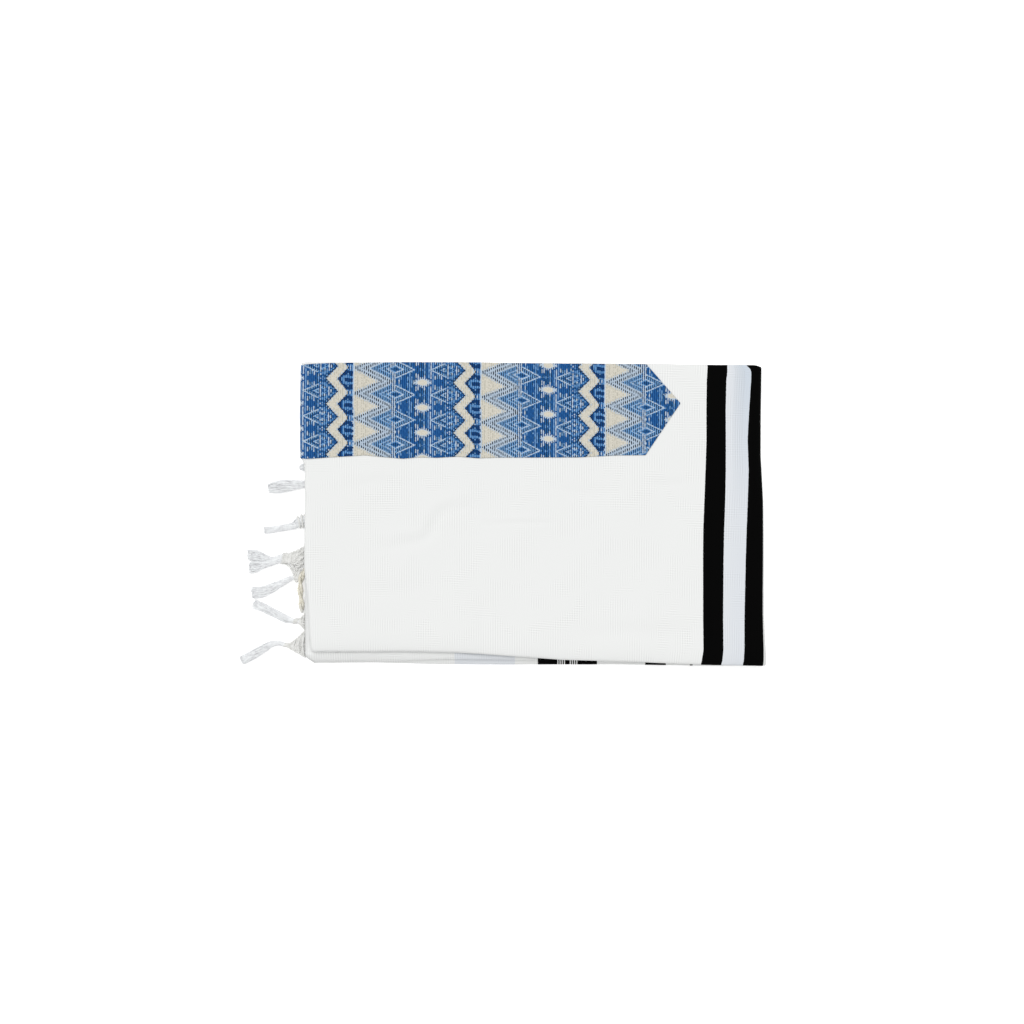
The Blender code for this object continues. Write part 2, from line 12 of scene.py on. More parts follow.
import bpy
import numpy as np
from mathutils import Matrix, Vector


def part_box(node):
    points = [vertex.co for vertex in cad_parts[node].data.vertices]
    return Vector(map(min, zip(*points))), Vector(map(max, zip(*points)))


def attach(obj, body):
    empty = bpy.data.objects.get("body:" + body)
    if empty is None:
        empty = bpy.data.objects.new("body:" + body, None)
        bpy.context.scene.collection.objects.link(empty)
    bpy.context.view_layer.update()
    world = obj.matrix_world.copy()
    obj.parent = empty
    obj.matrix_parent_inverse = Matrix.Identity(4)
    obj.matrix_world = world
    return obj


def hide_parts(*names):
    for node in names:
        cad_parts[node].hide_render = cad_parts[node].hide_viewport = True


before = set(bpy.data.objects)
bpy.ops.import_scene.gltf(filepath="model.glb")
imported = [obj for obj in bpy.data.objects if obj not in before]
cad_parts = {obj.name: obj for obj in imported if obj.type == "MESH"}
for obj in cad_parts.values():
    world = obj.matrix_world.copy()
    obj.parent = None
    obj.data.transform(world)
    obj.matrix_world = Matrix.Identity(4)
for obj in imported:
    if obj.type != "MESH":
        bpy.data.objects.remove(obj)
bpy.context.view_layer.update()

MM = 0.001

# The packet, as the frame has it
PACKET_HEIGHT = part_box("outer_cloth")[1][2]
LEFT_RADIUS = 4.35 * MM
RIGHT_RADIUS = PACKET_HEIGHT / 2
LEFT_CENTRE_X = -230.0 * MM + LEFT_RADIUS
RIGHT_CENTRE_X = 230.0 * MM - RIGHT_RADIUS
LOWER_END_X = -222.2 * MM
TUCK_LENGTH = 22.0 * MM
INNER_RADIUS = 0.8 * MM  # the free space inside the inner right fold
MIDDLE_Z = PACKET_HEIGHT / 2
LEDGE_Z = 8.7 * MM  # the top of the third strip
LEDGE_BLEND = 2 * MM  # the height above it over which the lower strips' front gives way to the upper

# One strip holds four plies: the shawl is folded in four across its height
PLY = 0.90 * MM
PLY_PITCH = 1.10 * MM
FIRST, SECOND, THIRD, FOURTH = (PLY / 2 + ply * PLY_PITCH for ply in range(4))
FOLD_DEPTH = (FIRST + FOURTH) / 2
OUTER_FOLD = (FOURTH - FIRST) / 2
NESTED_FOLD = PLY_PITCH / 2
FRONT_CENTRE = OUTER_FOLD + PLY / 2  # from a strip's front to the middle of its front folds
CURL_RETURN = 6.0 * MM

# Distances along the shawl from the centre fold, which are less than nothing in the inner half
LEFT_HALF = math.pi * LEFT_RADIUS / 2
TOP_END = LEFT_HALF + RIGHT_CENTRE_X - LEFT_CENTRE_X
RIGHT_ARC = math.pi * RIGHT_RADIUS
INNER_ARC = 6.0 * MM
OUTER_HALF_END = TOP_END + RIGHT_ARC + RIGHT_CENTRE_X - LOWER_END_X
INNER_HALF_END = -(TOP_END + INNER_ARC + RIGHT_CENTRE_X - LOWER_END_X)
TUCK_END = -(LEFT_HALF + TUCK_LENGTH)

# Where the front fold and the back edge of each strip lie, in y, for places along the packet
Strips = namedtuple("Strips", "x top second third bottom")
FRONT_FOLDS = (
    Strips(-0.2305, -0.1381, -0.1391, -0.1480, -0.1503),
    Strips(-0.1600, -0.1380, -0.1391, -0.1482, -0.1497),
    Strips(-0.1365, -0.1378, -0.1390, -0.1482, -0.1505),
    Strips(-0.0835, -0.1389, -0.1398, -0.1464, -0.1515),
    Strips(-0.0335, -0.1425, -0.1418, -0.1470, -0.1518),
    Strips(0.0235, -0.1466, -0.1446, -0.1482, -0.1516),
    Strips(0.0865, -0.1482, -0.1462, -0.1490, -0.1517),
    Strips(0.1665, -0.1516, -0.1494, -0.1497, -0.1530),
    Strips(0.2305, -0.1528, -0.1500, -0.1501, -0.1529),
)
BACK_EDGES = (
    Strips(-0.2305, 0.1514, 0.1500, 0.1496, 0.1510),
    Strips(-0.1885, 0.1512, 0.1494, 0.1500, 0.1506),
    Strips(-0.0400, 0.1506, 0.1490, 0.1486, 0.1500),
    Strips(0.1065, 0.1500, 0.1480, 0.1488, 0.1494),
    Strips(0.1485, 0.1488, 0.1476, 0.1480, 0.1484),
    Strips(0.2305, 0.1484, 0.1474, 0.1472, 0.1482),
)

# Where the packet's ends lie, in x, for places across it
Side = namedtuple("Side", "y left_fold lower_end right_fold")
ENDS = (
    Side(-0.1515, -0.2200, -0.2190, 0.2334),
    Side(-0.1480, -0.2207, -0.2225, 0.2333),
    Side(-0.1450, -0.2212, -0.2272, 0.2333),
    Side(-0.1415, -0.2218, -0.2288, 0.2332),
    Side(-0.1265, -0.2240, -0.2290, 0.2322),
    Side(-0.1005, -0.2252, -0.2290, 0.2311),
    Side(-0.0845, -0.2262, -0.2295, 0.2310),
    Side(-0.0640, -0.2286, -0.2296, 0.2310),
    Side(-0.0540, -0.2296, -0.2222, 0.2311),
    Side(-0.0225, -0.2296, -0.2222, 0.2310),
    Side(0.0100, -0.2287, -0.2222, 0.2306),
    Side(0.0490, -0.2294, -0.2222, 0.2284),
    Side(0.0560, -0.2326, -0.2222, 0.2279),
    Side(0.1000, -0.2328, -0.2222, 0.2280),
    Side(0.1515, -0.2319, -0.2222, 0.2288),
)

ENDS_PART = 0.6 * MM  # how far below the packet's middle its upper and lower ends part
ENDS_PART_HEIGHT = 0.2 * MM

# Creases: soft troughs with a low ridge beside them, as (x, y) routes
Crease = namedtuple("Crease", "route width depth")
CREASE_PLACES = 40  # on each route
CREASE_FADE = 0.7  # the power of the sine that fades a crease out at its ends
RIDGE_ASIDE = 1.7  # how many widths the ridge lies from the trough
RIDGE_SHARE = 0.5  # of the trough's depth
TOP_CREASES = (
    Crease(((-0.157, -0.036), (-0.132, -0.031), (-0.107, -0.024), (-0.090, 0.001), (-0.054, 0.007)),
           6.5 * MM, 0.90 * MM),
    Crease(((-0.054, -0.0105), (-0.020, -0.0093), (0.024, -0.0088)), 2.4 * MM, 0.55 * MM),
    Crease(((0.106, 0.032), (0.130, 0.029), (0.157, 0.031)), 4.5 * MM, 0.34 * MM),
    Crease(((0.046, -0.121), (0.100, -0.119), (0.164, -0.122)), 9.0 * MM, 0.60 * MM),
    Crease(((-0.050, -0.086), (-0.051, -0.110), (-0.048, -0.137)), 5.0 * MM, 0.34 * MM),
    Crease(((-0.190, -0.070), (-0.150, -0.078), (-0.118, -0.072)), 8.0 * MM, 0.40 * MM),
    Crease(((0.010, 0.030), (0.048, 0.020), (0.090, 0.024)), 7.0 * MM, 0.34 * MM),
    Crease(((-0.205, 0.020), (-0.160, 0.031), (-0.125, 0.026)), 6.0 * MM, 0.32 * MM),
)
UNDER_CREASES = (
    Crease(((-0.170, 0.060), (-0.120, 0.048), (-0.060, 0.055)), 6.0 * MM, 0.35 * MM),
    Crease(((-0.080, -0.050), (-0.020, -0.062), (0.060, -0.051)), 4.0 * MM, 0.30 * MM),
    Crease(((0.080, 0.090), (0.105, 0.040), (0.098, -0.020)), 7.0 * MM, 0.30 * MM),
    Crease(((0.130, -0.110), (0.165, -0.085), (0.200, -0.092)), 5.0 * MM, 0.26 * MM),
)

# The soft packet's broad waves: how long each is in x and in y, and its share of their height
Wave = namedtuple("Wave", "length_x length_y phase share")
SWELL_WAVES = (
    Wave(0.173, 0.310, 0.7, 1.0),
    Wave(0.096, -0.142, 2.1, 1.0),
    Wave(0.057, 0.076, 4.0, 0.5),
)
SWELL_HEIGHT = 0.16 * MM

# How the lower strips rise where they lie clear of the upper ones, and sink to their own front
LEDGE_HIDDEN = 1.0 * MM  # the swell begins this far behind the upper strips' front
LEDGE_SLOPE = 3.5 * MM  # and is whole this far on
LEDGE_FULL_WIDTH = 8 * MM  # a ledge this wide swells fully, a narrower one less
LEDGE_SWELL = 3.6 * MM
LEDGE_SINK = 4.4 * MM
LEDGE_REACH = 7.0 * MM  # over which the sinking dies away inwards

# How far the packet's top sinks at its edges, and over what distance that dies away inwards
Sink = namedtuple("Sink", "depth reach")
FRONT_SINK = Sink(3.0 * MM, 7.0 * MM)
BACK_SINK = Sink(0.9 * MM, 9 * MM)
LEFT_SINK = Sink(0.6 * MM, 10 * MM)
RIGHT_SINK = Sink(0.5 * MM, 14 * MM)

# The two stripes and the blue ground between them on top of the packet: their edges, in x, for
# places across it, and the distances along the shawl at which they are woven
StripePlace = namedtuple("StripePlace", "y first_left first_right second_left")
STRIPE_PLACES = (
    StripePlace(-0.1505, 0.1675, 0.1880, 0.2095),
    StripePlace(-0.1485, 0.1681, 0.1889, 0.2102),
    StripePlace(-0.1365, 0.1700, 0.1900, 0.2109),
    StripePlace(-0.1065, 0.1696, 0.1897, 0.2109),
    StripePlace(-0.0465, 0.1695, 0.1901, 0.2122),
    StripePlace(-0.0165, 0.1697, 0.1907, 0.2131),
    StripePlace(0.0135, 0.1709, 0.1918, 0.2143),
    StripePlace(0.0435, 0.1720, 0.1923, 0.2152),
    StripePlace(0.0735, 0.1730, 0.1924, 0.2141),
    StripePlace(0.1035, 0.1729, 0.1922, 0.2157),
    StripePlace(0.1335, 0.1733, 0.1929, 0.2178),
    StripePlace(0.1415, 0.1738, 0.1939, 0.2179),
    StripePlace(0.1445, 0.1740, 0.1939, 0.2169),
    StripePlace(0.1475, 0.1741, 0.1939, 0.2135),
    StripePlace(0.1490, 0.1741, 0.1939, 0.2130),
)
STRIPES_START = 330.0 * MM
FIRST_LEFT = 402.5 * MM
FIRST_RIGHT = 422.7 * MM
SECOND_LEFT = 444.9 * MM
SECOND_RIGHT = 464.0 * MM

# The neckband
BandEdge = namedtuple("BandEdge", "x lower upper")
BAND_EDGES = (
    BandEdge(-0.2305, 0.0550, 0.1484),
    BandEdge(-0.2235, 0.0546, 0.1493),
    BandEdge(-0.2135, 0.0553, 0.1500),
    BandEdge(-0.2000, 0.0563, 0.1504),
    BandEdge(-0.1835, 0.0572, 0.1508),
    BandEdge(-0.1655, 0.0583, 0.1510),
    BandEdge(-0.1485, 0.0566, 0.1512),
    BandEdge(-0.1285, 0.0548, 0.1514),
    BandEdge(-0.1135, 0.0562, 0.1514),
    BandEdge(-0.0935, 0.0558, 0.1513),
    BandEdge(-0.0735, 0.0570, 0.1513),
    BandEdge(-0.0535, 0.0553, 0.1512),
    BandEdge(-0.0335, 0.0560, 0.1508),
    BandEdge(0.0065, 0.0560, 0.1502),
    BandEdge(0.0465, 0.0562, 0.1498),
    BandEdge(0.0665, 0.0572, 0.1496),
    BandEdge(0.0865, 0.0582, 0.1494),
    BandEdge(0.1142, 0.0584, 0.1493),
)
BAND_SHOULDER_X = 0.1142
BAND_TIP_X = 0.1488
BAND_TIP_SHARE = 0.57
BAND_TUCK = 8.0 * MM
BAND_CELL = (1.04 * MM, 0.75 * MM)  # half a warp pitch along, half a weft float across
FLOAT_TAPER = 0.14 * MM  # how far the edges of floats swing, so that their ends taper
FLOAT_TAPER_LENGTH = 5.6 * MM
BAND_THICKNESS = 0.45 * MM
BAND_LIFT = 0.85 * MM  # the woven face above the cloth, and how it drops at the turned edge
BAND_EDGE_LIFT = 0.60 * MM
BAND_EDGE_WIDTH = 1.2 * MM
BAND_SHIFT = 2.8 * MM  # what is added to its threads' places, as the settled cloth lies to the left
BAND_SHIFT_LOSS = 0.8 * MM  # how much less that is at the right fold
BAND_POINT_LEAN = 0.8  # the distance from the slanting edge, for each unit along the band
FLOAT_PHASE = 2.4  # from one pair of threads to the next
LEAST_CELL = 1e-5  # cells that the point's edge cuts shorter than this are left out

# The fringe. A tassel is a row of sections from its root to its tip
Section = namedtuple("Section", "x y width height raised")
TASSELS = {
    "tassel_1": (
        Section(-0.2230, 0.0480, 0.0070, 0.0040, 0.0020),
        Section(-0.2280, 0.0472, 0.0075, 0.0042, 0.0010),
        Section(-0.2325, 0.0462, 0.0070, 0.0038, 0.0),
        Section(-0.2352, 0.0448, 0.0036, 0.0024, 0.0),
    ),
    "tassel_2": (
        Section(-0.2226, 0.0297, 0.0066, 0.0040, 0.0020),
        Section(-0.2285, 0.0297, 0.0068, 0.0042, 0.0010),
        Section(-0.2425, 0.0283, 0.0110, 0.0050, 0.0),
        Section(-0.2535, 0.0272, 0.0135, 0.0052, 0.0),
        Section(-0.2615, 0.0257, 0.0118, 0.0044, 0.0),
        Section(-0.2666, 0.0248, 0.0096, 0.0030, 0.0),
    ),
    "tassel_3": (
        Section(-0.2231, -0.0060, 0.0090, 0.0044, 0.0018),
        Section(-0.2300, -0.0072, 0.0140, 0.0058, 0.0006),
        Section(-0.2365, -0.0090, 0.0130, 0.0058, 0.0),
        Section(-0.2405, -0.0122, 0.0080, 0.0046, 0.0),
        Section(-0.2565, -0.0152, 0.0068, 0.0040, 0.0),
        Section(-0.2655, -0.0165, 0.0076, 0.0036, 0.0),
        Section(-0.2708, -0.0168, 0.0078, 0.0026, 0.0),
    ),
    "tassel_4": (
        Section(-0.2428, -0.0448, 0.0110, 0.0056, 0.0),
        Section(-0.2485, -0.0450, 0.0124, 0.0062, 0.0),
        Section(-0.2530, -0.0452, 0.0112, 0.0058, 0.0),
        Section(-0.2560, -0.0458, 0.0086, 0.0044, 0.0),
        Section(-0.2625, -0.0480, 0.0090, 0.0042, 0.0),
        Section(-0.2695, -0.0480, 0.0150, 0.0042, 0.0),
        Section(-0.2785, -0.0478, 0.0230, 0.0038, 0.0),
        Section(-0.2870, -0.0486, 0.0244, 0.0026, 0.0),
    ),
    "tassel_5": (
        Section(-0.2408, -0.0636, 0.0040, 0.0030, 0.0),
        Section(-0.2446, -0.0656, 0.0058, 0.0040, 0.0),
        Section(-0.2535, -0.0700, 0.0074, 0.0044, 0.0),
        Section(-0.2635, -0.0752, 0.0098, 0.0044, 0.0),
        Section(-0.2720, -0.0784, 0.0118, 0.0040, 0.0),
        Section(-0.2836, -0.0800, 0.0138, 0.0028, 0.0),
    ),
    "tassel_6": (
        Section(-0.2352, -0.1080, 0.0054, 0.0046, 0.0),
        Section(-0.2395, -0.1080, 0.0064, 0.0052, 0.0),
        Section(-0.2420, -0.1078, 0.0054, 0.0042, 0.0),
        Section(-0.2485, -0.1060, 0.0080, 0.0042, 0.0),
        Section(-0.2585, -0.1010, 0.0088, 0.0042, 0.0),
        Section(-0.2685, -0.0958, 0.0094, 0.0040, 0.0),
        Section(-0.2752, -0.0930, 0.0098, 0.0032, 0.0),
        Section(-0.2820, -0.0904, 0.0106, 0.0022, 0.0),
    ),
    "tassel_7": (
        Section(-0.2470, -0.1322, 0.0048, 0.0046, 0.0),
        Section(-0.2495, -0.1318, 0.0052, 0.0044, 0.0),
        Section(-0.2565, -0.1302, 0.0052, 0.0040, 0.0),
        Section(-0.2635, -0.1316, 0.0070, 0.0042, 0.0),
        Section(-0.2720, -0.1360, 0.0090, 0.0044, 0.0),
        Section(-0.2820, -0.1420, 0.0098, 0.0040, 0.0),
        Section(-0.2900, -0.1462, 0.0098, 0.0032, 0.0),
        Section(-0.2942, -0.1480, 0.0090, 0.0020, 0.0),
    ),
}
# How a tassel's yarn lies: strands, turns of twist, the part of its length from which it parts
# in two, and its knot, as (start, end) parts of its length
Lay = namedtuple("Lay", "strands twist parts knot")
TASSEL_LAYS = {
    "tassel_1": Lay(46, 0.2, 1.0, None),
    "tassel_2": Lay(110, 0.1, 1.0, None),
    "tassel_3": Lay(86, 0.4, 1.0, (0.10, 0.30)),
    "tassel_4": Lay(150, 0.0, 0.66, (0.12, 0.22)),
    "tassel_5": Lay(88, 0.2, 1.0, None),
    "tassel_6": Lay(84, 0.3, 1.0, (0.04, 0.12)),
    "tassel_7": Lay(78, 0.3, 1.0, (0.00, 0.07)),
}
STRAND_RADIUS = 0.42 * MM
STRAND_SIDES = 5
STRAND_RINGS = 34
STRAND_SHORTER = 0.06  # the part of a tassel's length by which its strands end sooner, at most
STRAND_WANDER = 0.10  # in half widths, as the next
STRAND_PARTING = 0.15
GOLDEN_ANGLE = 2.39996
TABLE_GAP = 0.2 * MM  # under the fringe
KNOT_TURNS = 3
KNOT_STEPS = 22  # in each turn
KNOT_PINCH = 0.35  # how much narrower the strands are inside it
KNOT_RADIUS = 0.9 * MM
KNOT_SLANT = 1.3 * MM  # how far a knot's turns lean along the tassel

# The corner tassel's cord, from where it comes out under the fold to where it goes back
CORD_ROUTE = (
    (-0.2270, -0.0535, 0.0048),
    (-0.2289, -0.0563, 0.0043),
    (-0.2307, -0.0592, 0.0039),
    (-0.2323, -0.0623, 0.0036),
    (-0.2334, -0.0656, 0.0035),
    (-0.2340, -0.0690, 0.0034),
    (-0.2342, -0.0724, 0.0034),
    (-0.2342, -0.0758, 0.0034),
    (-0.2340, -0.0792, 0.0034),
    (-0.2338, -0.0826, 0.0034),
    (-0.2335, -0.0860, 0.0034),
    (-0.2332, -0.0893, 0.0034),
    (-0.2329, -0.0925, 0.0034),
    (-0.2327, -0.0956, 0.0034),
    (-0.2327, -0.0989, 0.0034),
)
CORD_DIAMETER = 6.2 * MM
CORD_TURN = 28.0 * MM  # one full turn of its two strands
CORD_PLACES = 90
CORD_YARN_RADIUS = 0.84 * MM
CORD_YARN_OFFSET = 0.78 * MM  # from the middle of its strand
CORD_YARN_TURN = 9.0 * MM

SEED = 18


# Working out surfaces


def column(table, key, at, value):
    """Reads one column of a table at any place, straight between its rows."""
    return np.interp(at, [getattr(row, key) for row in table], [getattr(row, value) for row in table])


def packet_line(s, depth):
    """x and z of the cloth seen from the front, at a distance s along it and a depth inside it.

    A half circle round the left fold, straight over the top and round the right fold to the
    bottom for s above nothing; the second strip, the small inner fold and the third strip below.
    """
    s, depth = np.broadcast_arrays(s, depth)
    left = math.pi - s / LEFT_RADIUS
    right = math.pi / 2 - (s - TOP_END) / RIGHT_RADIUS
    inner = math.pi / 2 - math.pi * (-s - TOP_END) / INNER_ARC
    stretches = [
        (s > TOP_END + RIGHT_ARC, RIGHT_CENTRE_X - (s - TOP_END - RIGHT_ARC), depth),
        (s > TOP_END, RIGHT_CENTRE_X + (RIGHT_RADIUS - depth) * np.cos(right),
         MIDDLE_Z + (RIGHT_RADIUS - depth) * np.sin(right)),
        (s > LEFT_HALF, LEFT_CENTRE_X + s - LEFT_HALF, PACKET_HEIGHT - depth),
        (s >= -LEFT_HALF, LEFT_CENTRE_X + (LEFT_RADIUS - depth) * np.cos(left),
         PACKET_HEIGHT - LEFT_RADIUS + (LEFT_RADIUS - depth) * np.sin(left)),
        (s >= -TOP_END, LEFT_CENTRE_X - s - LEFT_HALF, PACKET_HEIGHT - 2 * LEFT_RADIUS + depth),
        (s >= -TOP_END - INNER_ARC, RIGHT_CENTRE_X + (INNER_RADIUS + depth) * np.cos(inner),
         MIDDLE_Z + (INNER_RADIUS + depth) * np.sin(inner)),
        (s < -TOP_END - INNER_ARC, RIGHT_CENTRE_X + s + TOP_END + INNER_ARC,
         MIDDLE_Z - INNER_RADIUS - depth),
    ]
    tests = [stretch[0] for stretch in stretches]
    x = np.select(tests, [stretch[1] for stretch in stretches])
    z = np.select(tests, [stretch[2] for stretch in stretches])
    return x, z


def edge_at(table, s):
    """y of a front fold or back edge at a distance along the cloth, shared out round each fold."""
    x = packet_line(s, 0.0)[0]
    top, second, third, bottom = (column(table, "x", x, strip) for strip in Strips._fields[1:])
    left = np.clip((s + LEFT_HALF) / (2 * LEFT_HALF), 0, 1)
    right = np.clip((s - TOP_END) / RIGHT_ARC, 0, 1)
    inner = np.clip((-s - TOP_END) / INNER_ARC, 0, 1)
    return second + (top - second) * left + (bottom - top) * right + (third - second) * inner


def end_shifts(y, z):
    """How far the packet's left and right ends lie in x from those of the straight packet."""
    fold = column(ENDS, "y", y, "left_fold") - (LEFT_CENTRE_X - LEFT_RADIUS)
    lower = column(ENDS, "y", y, "lower_end") - LOWER_END_X
    upper_part = np.clip((z - MIDDLE_Z + ENDS_PART) / ENDS_PART_HEIGHT, 0, 1)
    right = column(ENDS, "y", y, "right_fold") - (RIGHT_CENTRE_X + RIGHT_RADIUS)
    return lower + (fold - lower) * upper_part, right


def catmull_rom(rows, at):
    """Rows of numbers read smoothly at any places from 0 to the last row's index."""
    rows = np.asarray(rows, float)
    padded = np.vstack([2 * rows[0] - rows[1], rows, 2 * rows[-1] - rows[-2]])
    start = np.clip(np.floor(at).astype(int), 0, len(rows) - 2)
    t = (at - start)[..., None]
    a, b, c, d = (padded[start + k] for k in range(4))
    return 0.5 * (2 * b + (c - a) * t + (2 * a - 5 * b + 4 * c - d) * t**2 + (3 * b - a - 3 * c + d) * t**3)


def even_route(rows, count):
    """Places evenly spaced along the smooth curve through a route's points (its first columns)."""
    fine = catmull_rom(rows, np.linspace(0, len(rows) - 1, 24 * len(rows)))
    steps = np.linalg.norm(np.diff(fine[:, :2], axis=0), axis=1)
    reached = np.append(0, np.cumsum(steps))
    places = np.linspace(0, reached[-1], count)
    return np.column_stack([np.interp(places, reached, fine[:, k]) for k in range(fine.shape[1])])


def crease_height(x, y, creases):
    """The sum over creases of a bell-shaped trough, and half as high a ridge on its left side.

    The bell is exp(-(d / width)^2) of the distance d to the route, faded out at its ends.
    """
    height = np.zeros(x.shape)
    for crease in creases:
        route = even_route(crease.route, CREASE_PLACES)
        along = np.gradient(route, axis=0)
        along /= np.linalg.norm(along, axis=1)[:, None]
        away = np.stack([x, y], axis=-1)[..., None, :] - route
        nearest = np.argmin((away**2).sum(axis=-1), axis=-1)
        offset = np.take_along_axis(away, nearest[..., None, None], axis=-2)[..., 0, :]
        direction = along[nearest]
        side = direction[..., 0] * offset[..., 1] - direction[..., 1] * offset[..., 0]
        distance = np.linalg.norm(offset, axis=-1)
        fade = np.sin(math.pi * (nearest + 0.5) / len(route)) ** CREASE_FADE
        trough = np.exp(-((distance / crease.width) ** 2))
        ridge = np.exp(-(((np.copysign(distance, side) - RIDGE_ASIDE * crease.width) / crease.width) ** 2))
        height += crease.depth * fade * (RIDGE_SHARE * ridge - trough)
    return height


def swell(x, y):
    """Broad, low waves of the soft packet: three sine waves of unlike length and direction."""
    return SWELL_HEIGHT * sum(
        wave.share * np.sin(2 * math.pi * (x / wave.length_x + y / wave.length_y) + wave.phase)
        for wave in SWELL_WAVES)


def ledge_lift(x, y, z):
    """How the lower strips rise where they lie clear of the upper ones, at the front.

    They swell beside the upper strips' front and sink to their own, by a hat-shaped share of the
    height that is greatest between the second strip and the third, so that plies stay apart.
    """
    upper = column(FRONT_FOLDS, "x", x, "top")
    lower = column(FRONT_FOLDS, "x", x, "bottom")
    clear = np.clip((upper + LEDGE_HIDDEN - y) / LEDGE_SLOPE, 0, 1)
    rim = np.exp(-np.maximum(y - lower, 0) / LEDGE_REACH)
    hat = np.minimum(z / LEDGE_Z, (PACKET_HEIGHT - z) / (PACKET_HEIGHT - LEDGE_Z))
    wide = np.clip((upper - lower) / LEDGE_FULL_WIDTH, 0, 1)
    swelling = LEDGE_SWELL * clear**2 * (3 - 2 * clear) * (1 - rim)
    return wide * np.maximum(hat, 0) * (swelling - LEDGE_SINK * rim)


def settled(points):
    """Takes points of the straight packet to where the soft, slanting packet has them.

    The ends shift along x, and heights are pressed in proportion, so that plies stay apart: by the
    creases and waves, and by a drop that dies away inwards from the front, the back and the ends.
    """
    x, y, z = points[..., 0], points[..., 1], points[..., 2]
    left, right = end_shifts(y, z)
    along = np.clip((x - LEFT_CENTRE_X) / (RIGHT_CENTRE_X - LEFT_CENTRE_X), 0, 1)
    x = x + left * (1 - along) + right * along
    upper_part = np.clip((z - LEDGE_Z) / LEDGE_BLEND, 0, 1)
    lowest = column(FRONT_FOLDS, "x", x, "bottom")
    front = y - lowest - (column(FRONT_FOLDS, "x", x, "top") - lowest) * upper_part
    back = column(BACK_EDGES, "x", x, "top") - y
    left_end = x - LEFT_CENTRE_X + LEFT_RADIUS
    right_end = RIGHT_CENTRE_X + RIGHT_RADIUS - x
    edges = ((front, FRONT_SINK), (back, BACK_SINK), (left_end, LEFT_SINK), (right_end, RIGHT_SINK))
    drop = sum(sink.depth * np.exp(-np.maximum(inwards, 0) / sink.reach) for inwards, sink in edges)
    top = crease_height(x, y, TOP_CREASES) + swell(x, y) - drop
    under = -crease_height(x, y, UNDER_CREASES)
    share = z / PACKET_HEIGHT
    lift = top * share + np.maximum(under, 0) * (1 - share) + ledge_lift(x, y, z)
    return np.stack([x, y, z + lift], axis=-1)


# Making pieces

TIP_LENGTH = 0.8  # of a tube's pointed ends, in its own radius
X_AXIS, Y_AXIS, UP = np.eye(3)


def linear(colour):
    """A hex sRGB colour such as "#f0f0f0" as linear red, green, blue and alpha."""
    parts = [int(colour[k:k + 2], 16) / 255 for k in (1, 3, 5)]
    return [part / 12.92 if part <= 0.04045 else ((part + 0.055) / 1.055) ** 2.4 for part in parts] + [1.0]


def mesh_piece(name, points, polygons, material, replaces=()):
    """A piece from points and lists of faces, each an array with one face a row."""
    mesh = bpy.data.meshes.new(name)
    mesh.vertices.add(len(points))
    mesh.vertices.foreach_set("co", np.ascontiguousarray(points, np.float32).ravel())
    corners = np.concatenate([faces.ravel() for faces in polygons])
    sizes = np.concatenate([np.full(len(faces), faces.shape[1]) for faces in polygons])
    mesh.loops.add(len(corners))
    mesh.loops.foreach_set("vertex_index", corners.astype(np.int32))
    mesh.polygons.add(len(sizes))
    mesh.polygons.foreach_set("loop_start", (np.cumsum(sizes) - sizes).astype(np.int32))
    mesh.update(calc_edges=True)
    mesh.shade_smooth()
    mesh.materials.append(material)
    obj = bpy.data.objects.new(name, mesh)
    bpy.context.scene.collection.objects.link(obj)
    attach(obj, "root")
    if replaces:
        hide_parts(*replaces)
    return obj


def grid_faces(rows, columns):
    """Four-sided faces between the points of a grid, row after row."""
    corner = np.arange(rows * columns).reshape(rows, columns)
    return np.stack(
        [corner[:-1, :-1], corner[:-1, 1:], corner[1:, 1:], corner[1:, :-1]], axis=-1
    ).reshape(-1, 4)


def give_uv(obj, uv):
    """A UV map of real distances in metres, from one pair a vertex."""
    layer = obj.data.uv_layers.new(name="cloth")
    corner = np.empty(len(obj.data.loops), np.int32)
    obj.data.loops.foreach_get("vertex_index", corner)
    layer.uv.foreach_set("vector", np.ascontiguousarray(uv.reshape(-1, 2)[corner], np.float32).ravel())


def give_wall(obj, thickness):
    """Makes an open sheet a closed wall, half on each side."""
    wall = obj.modifiers.new("Wall", "SOLIDIFY")
    wall.thickness = thickness
    wall.offset = 0.0
    wall.use_even_offset = True


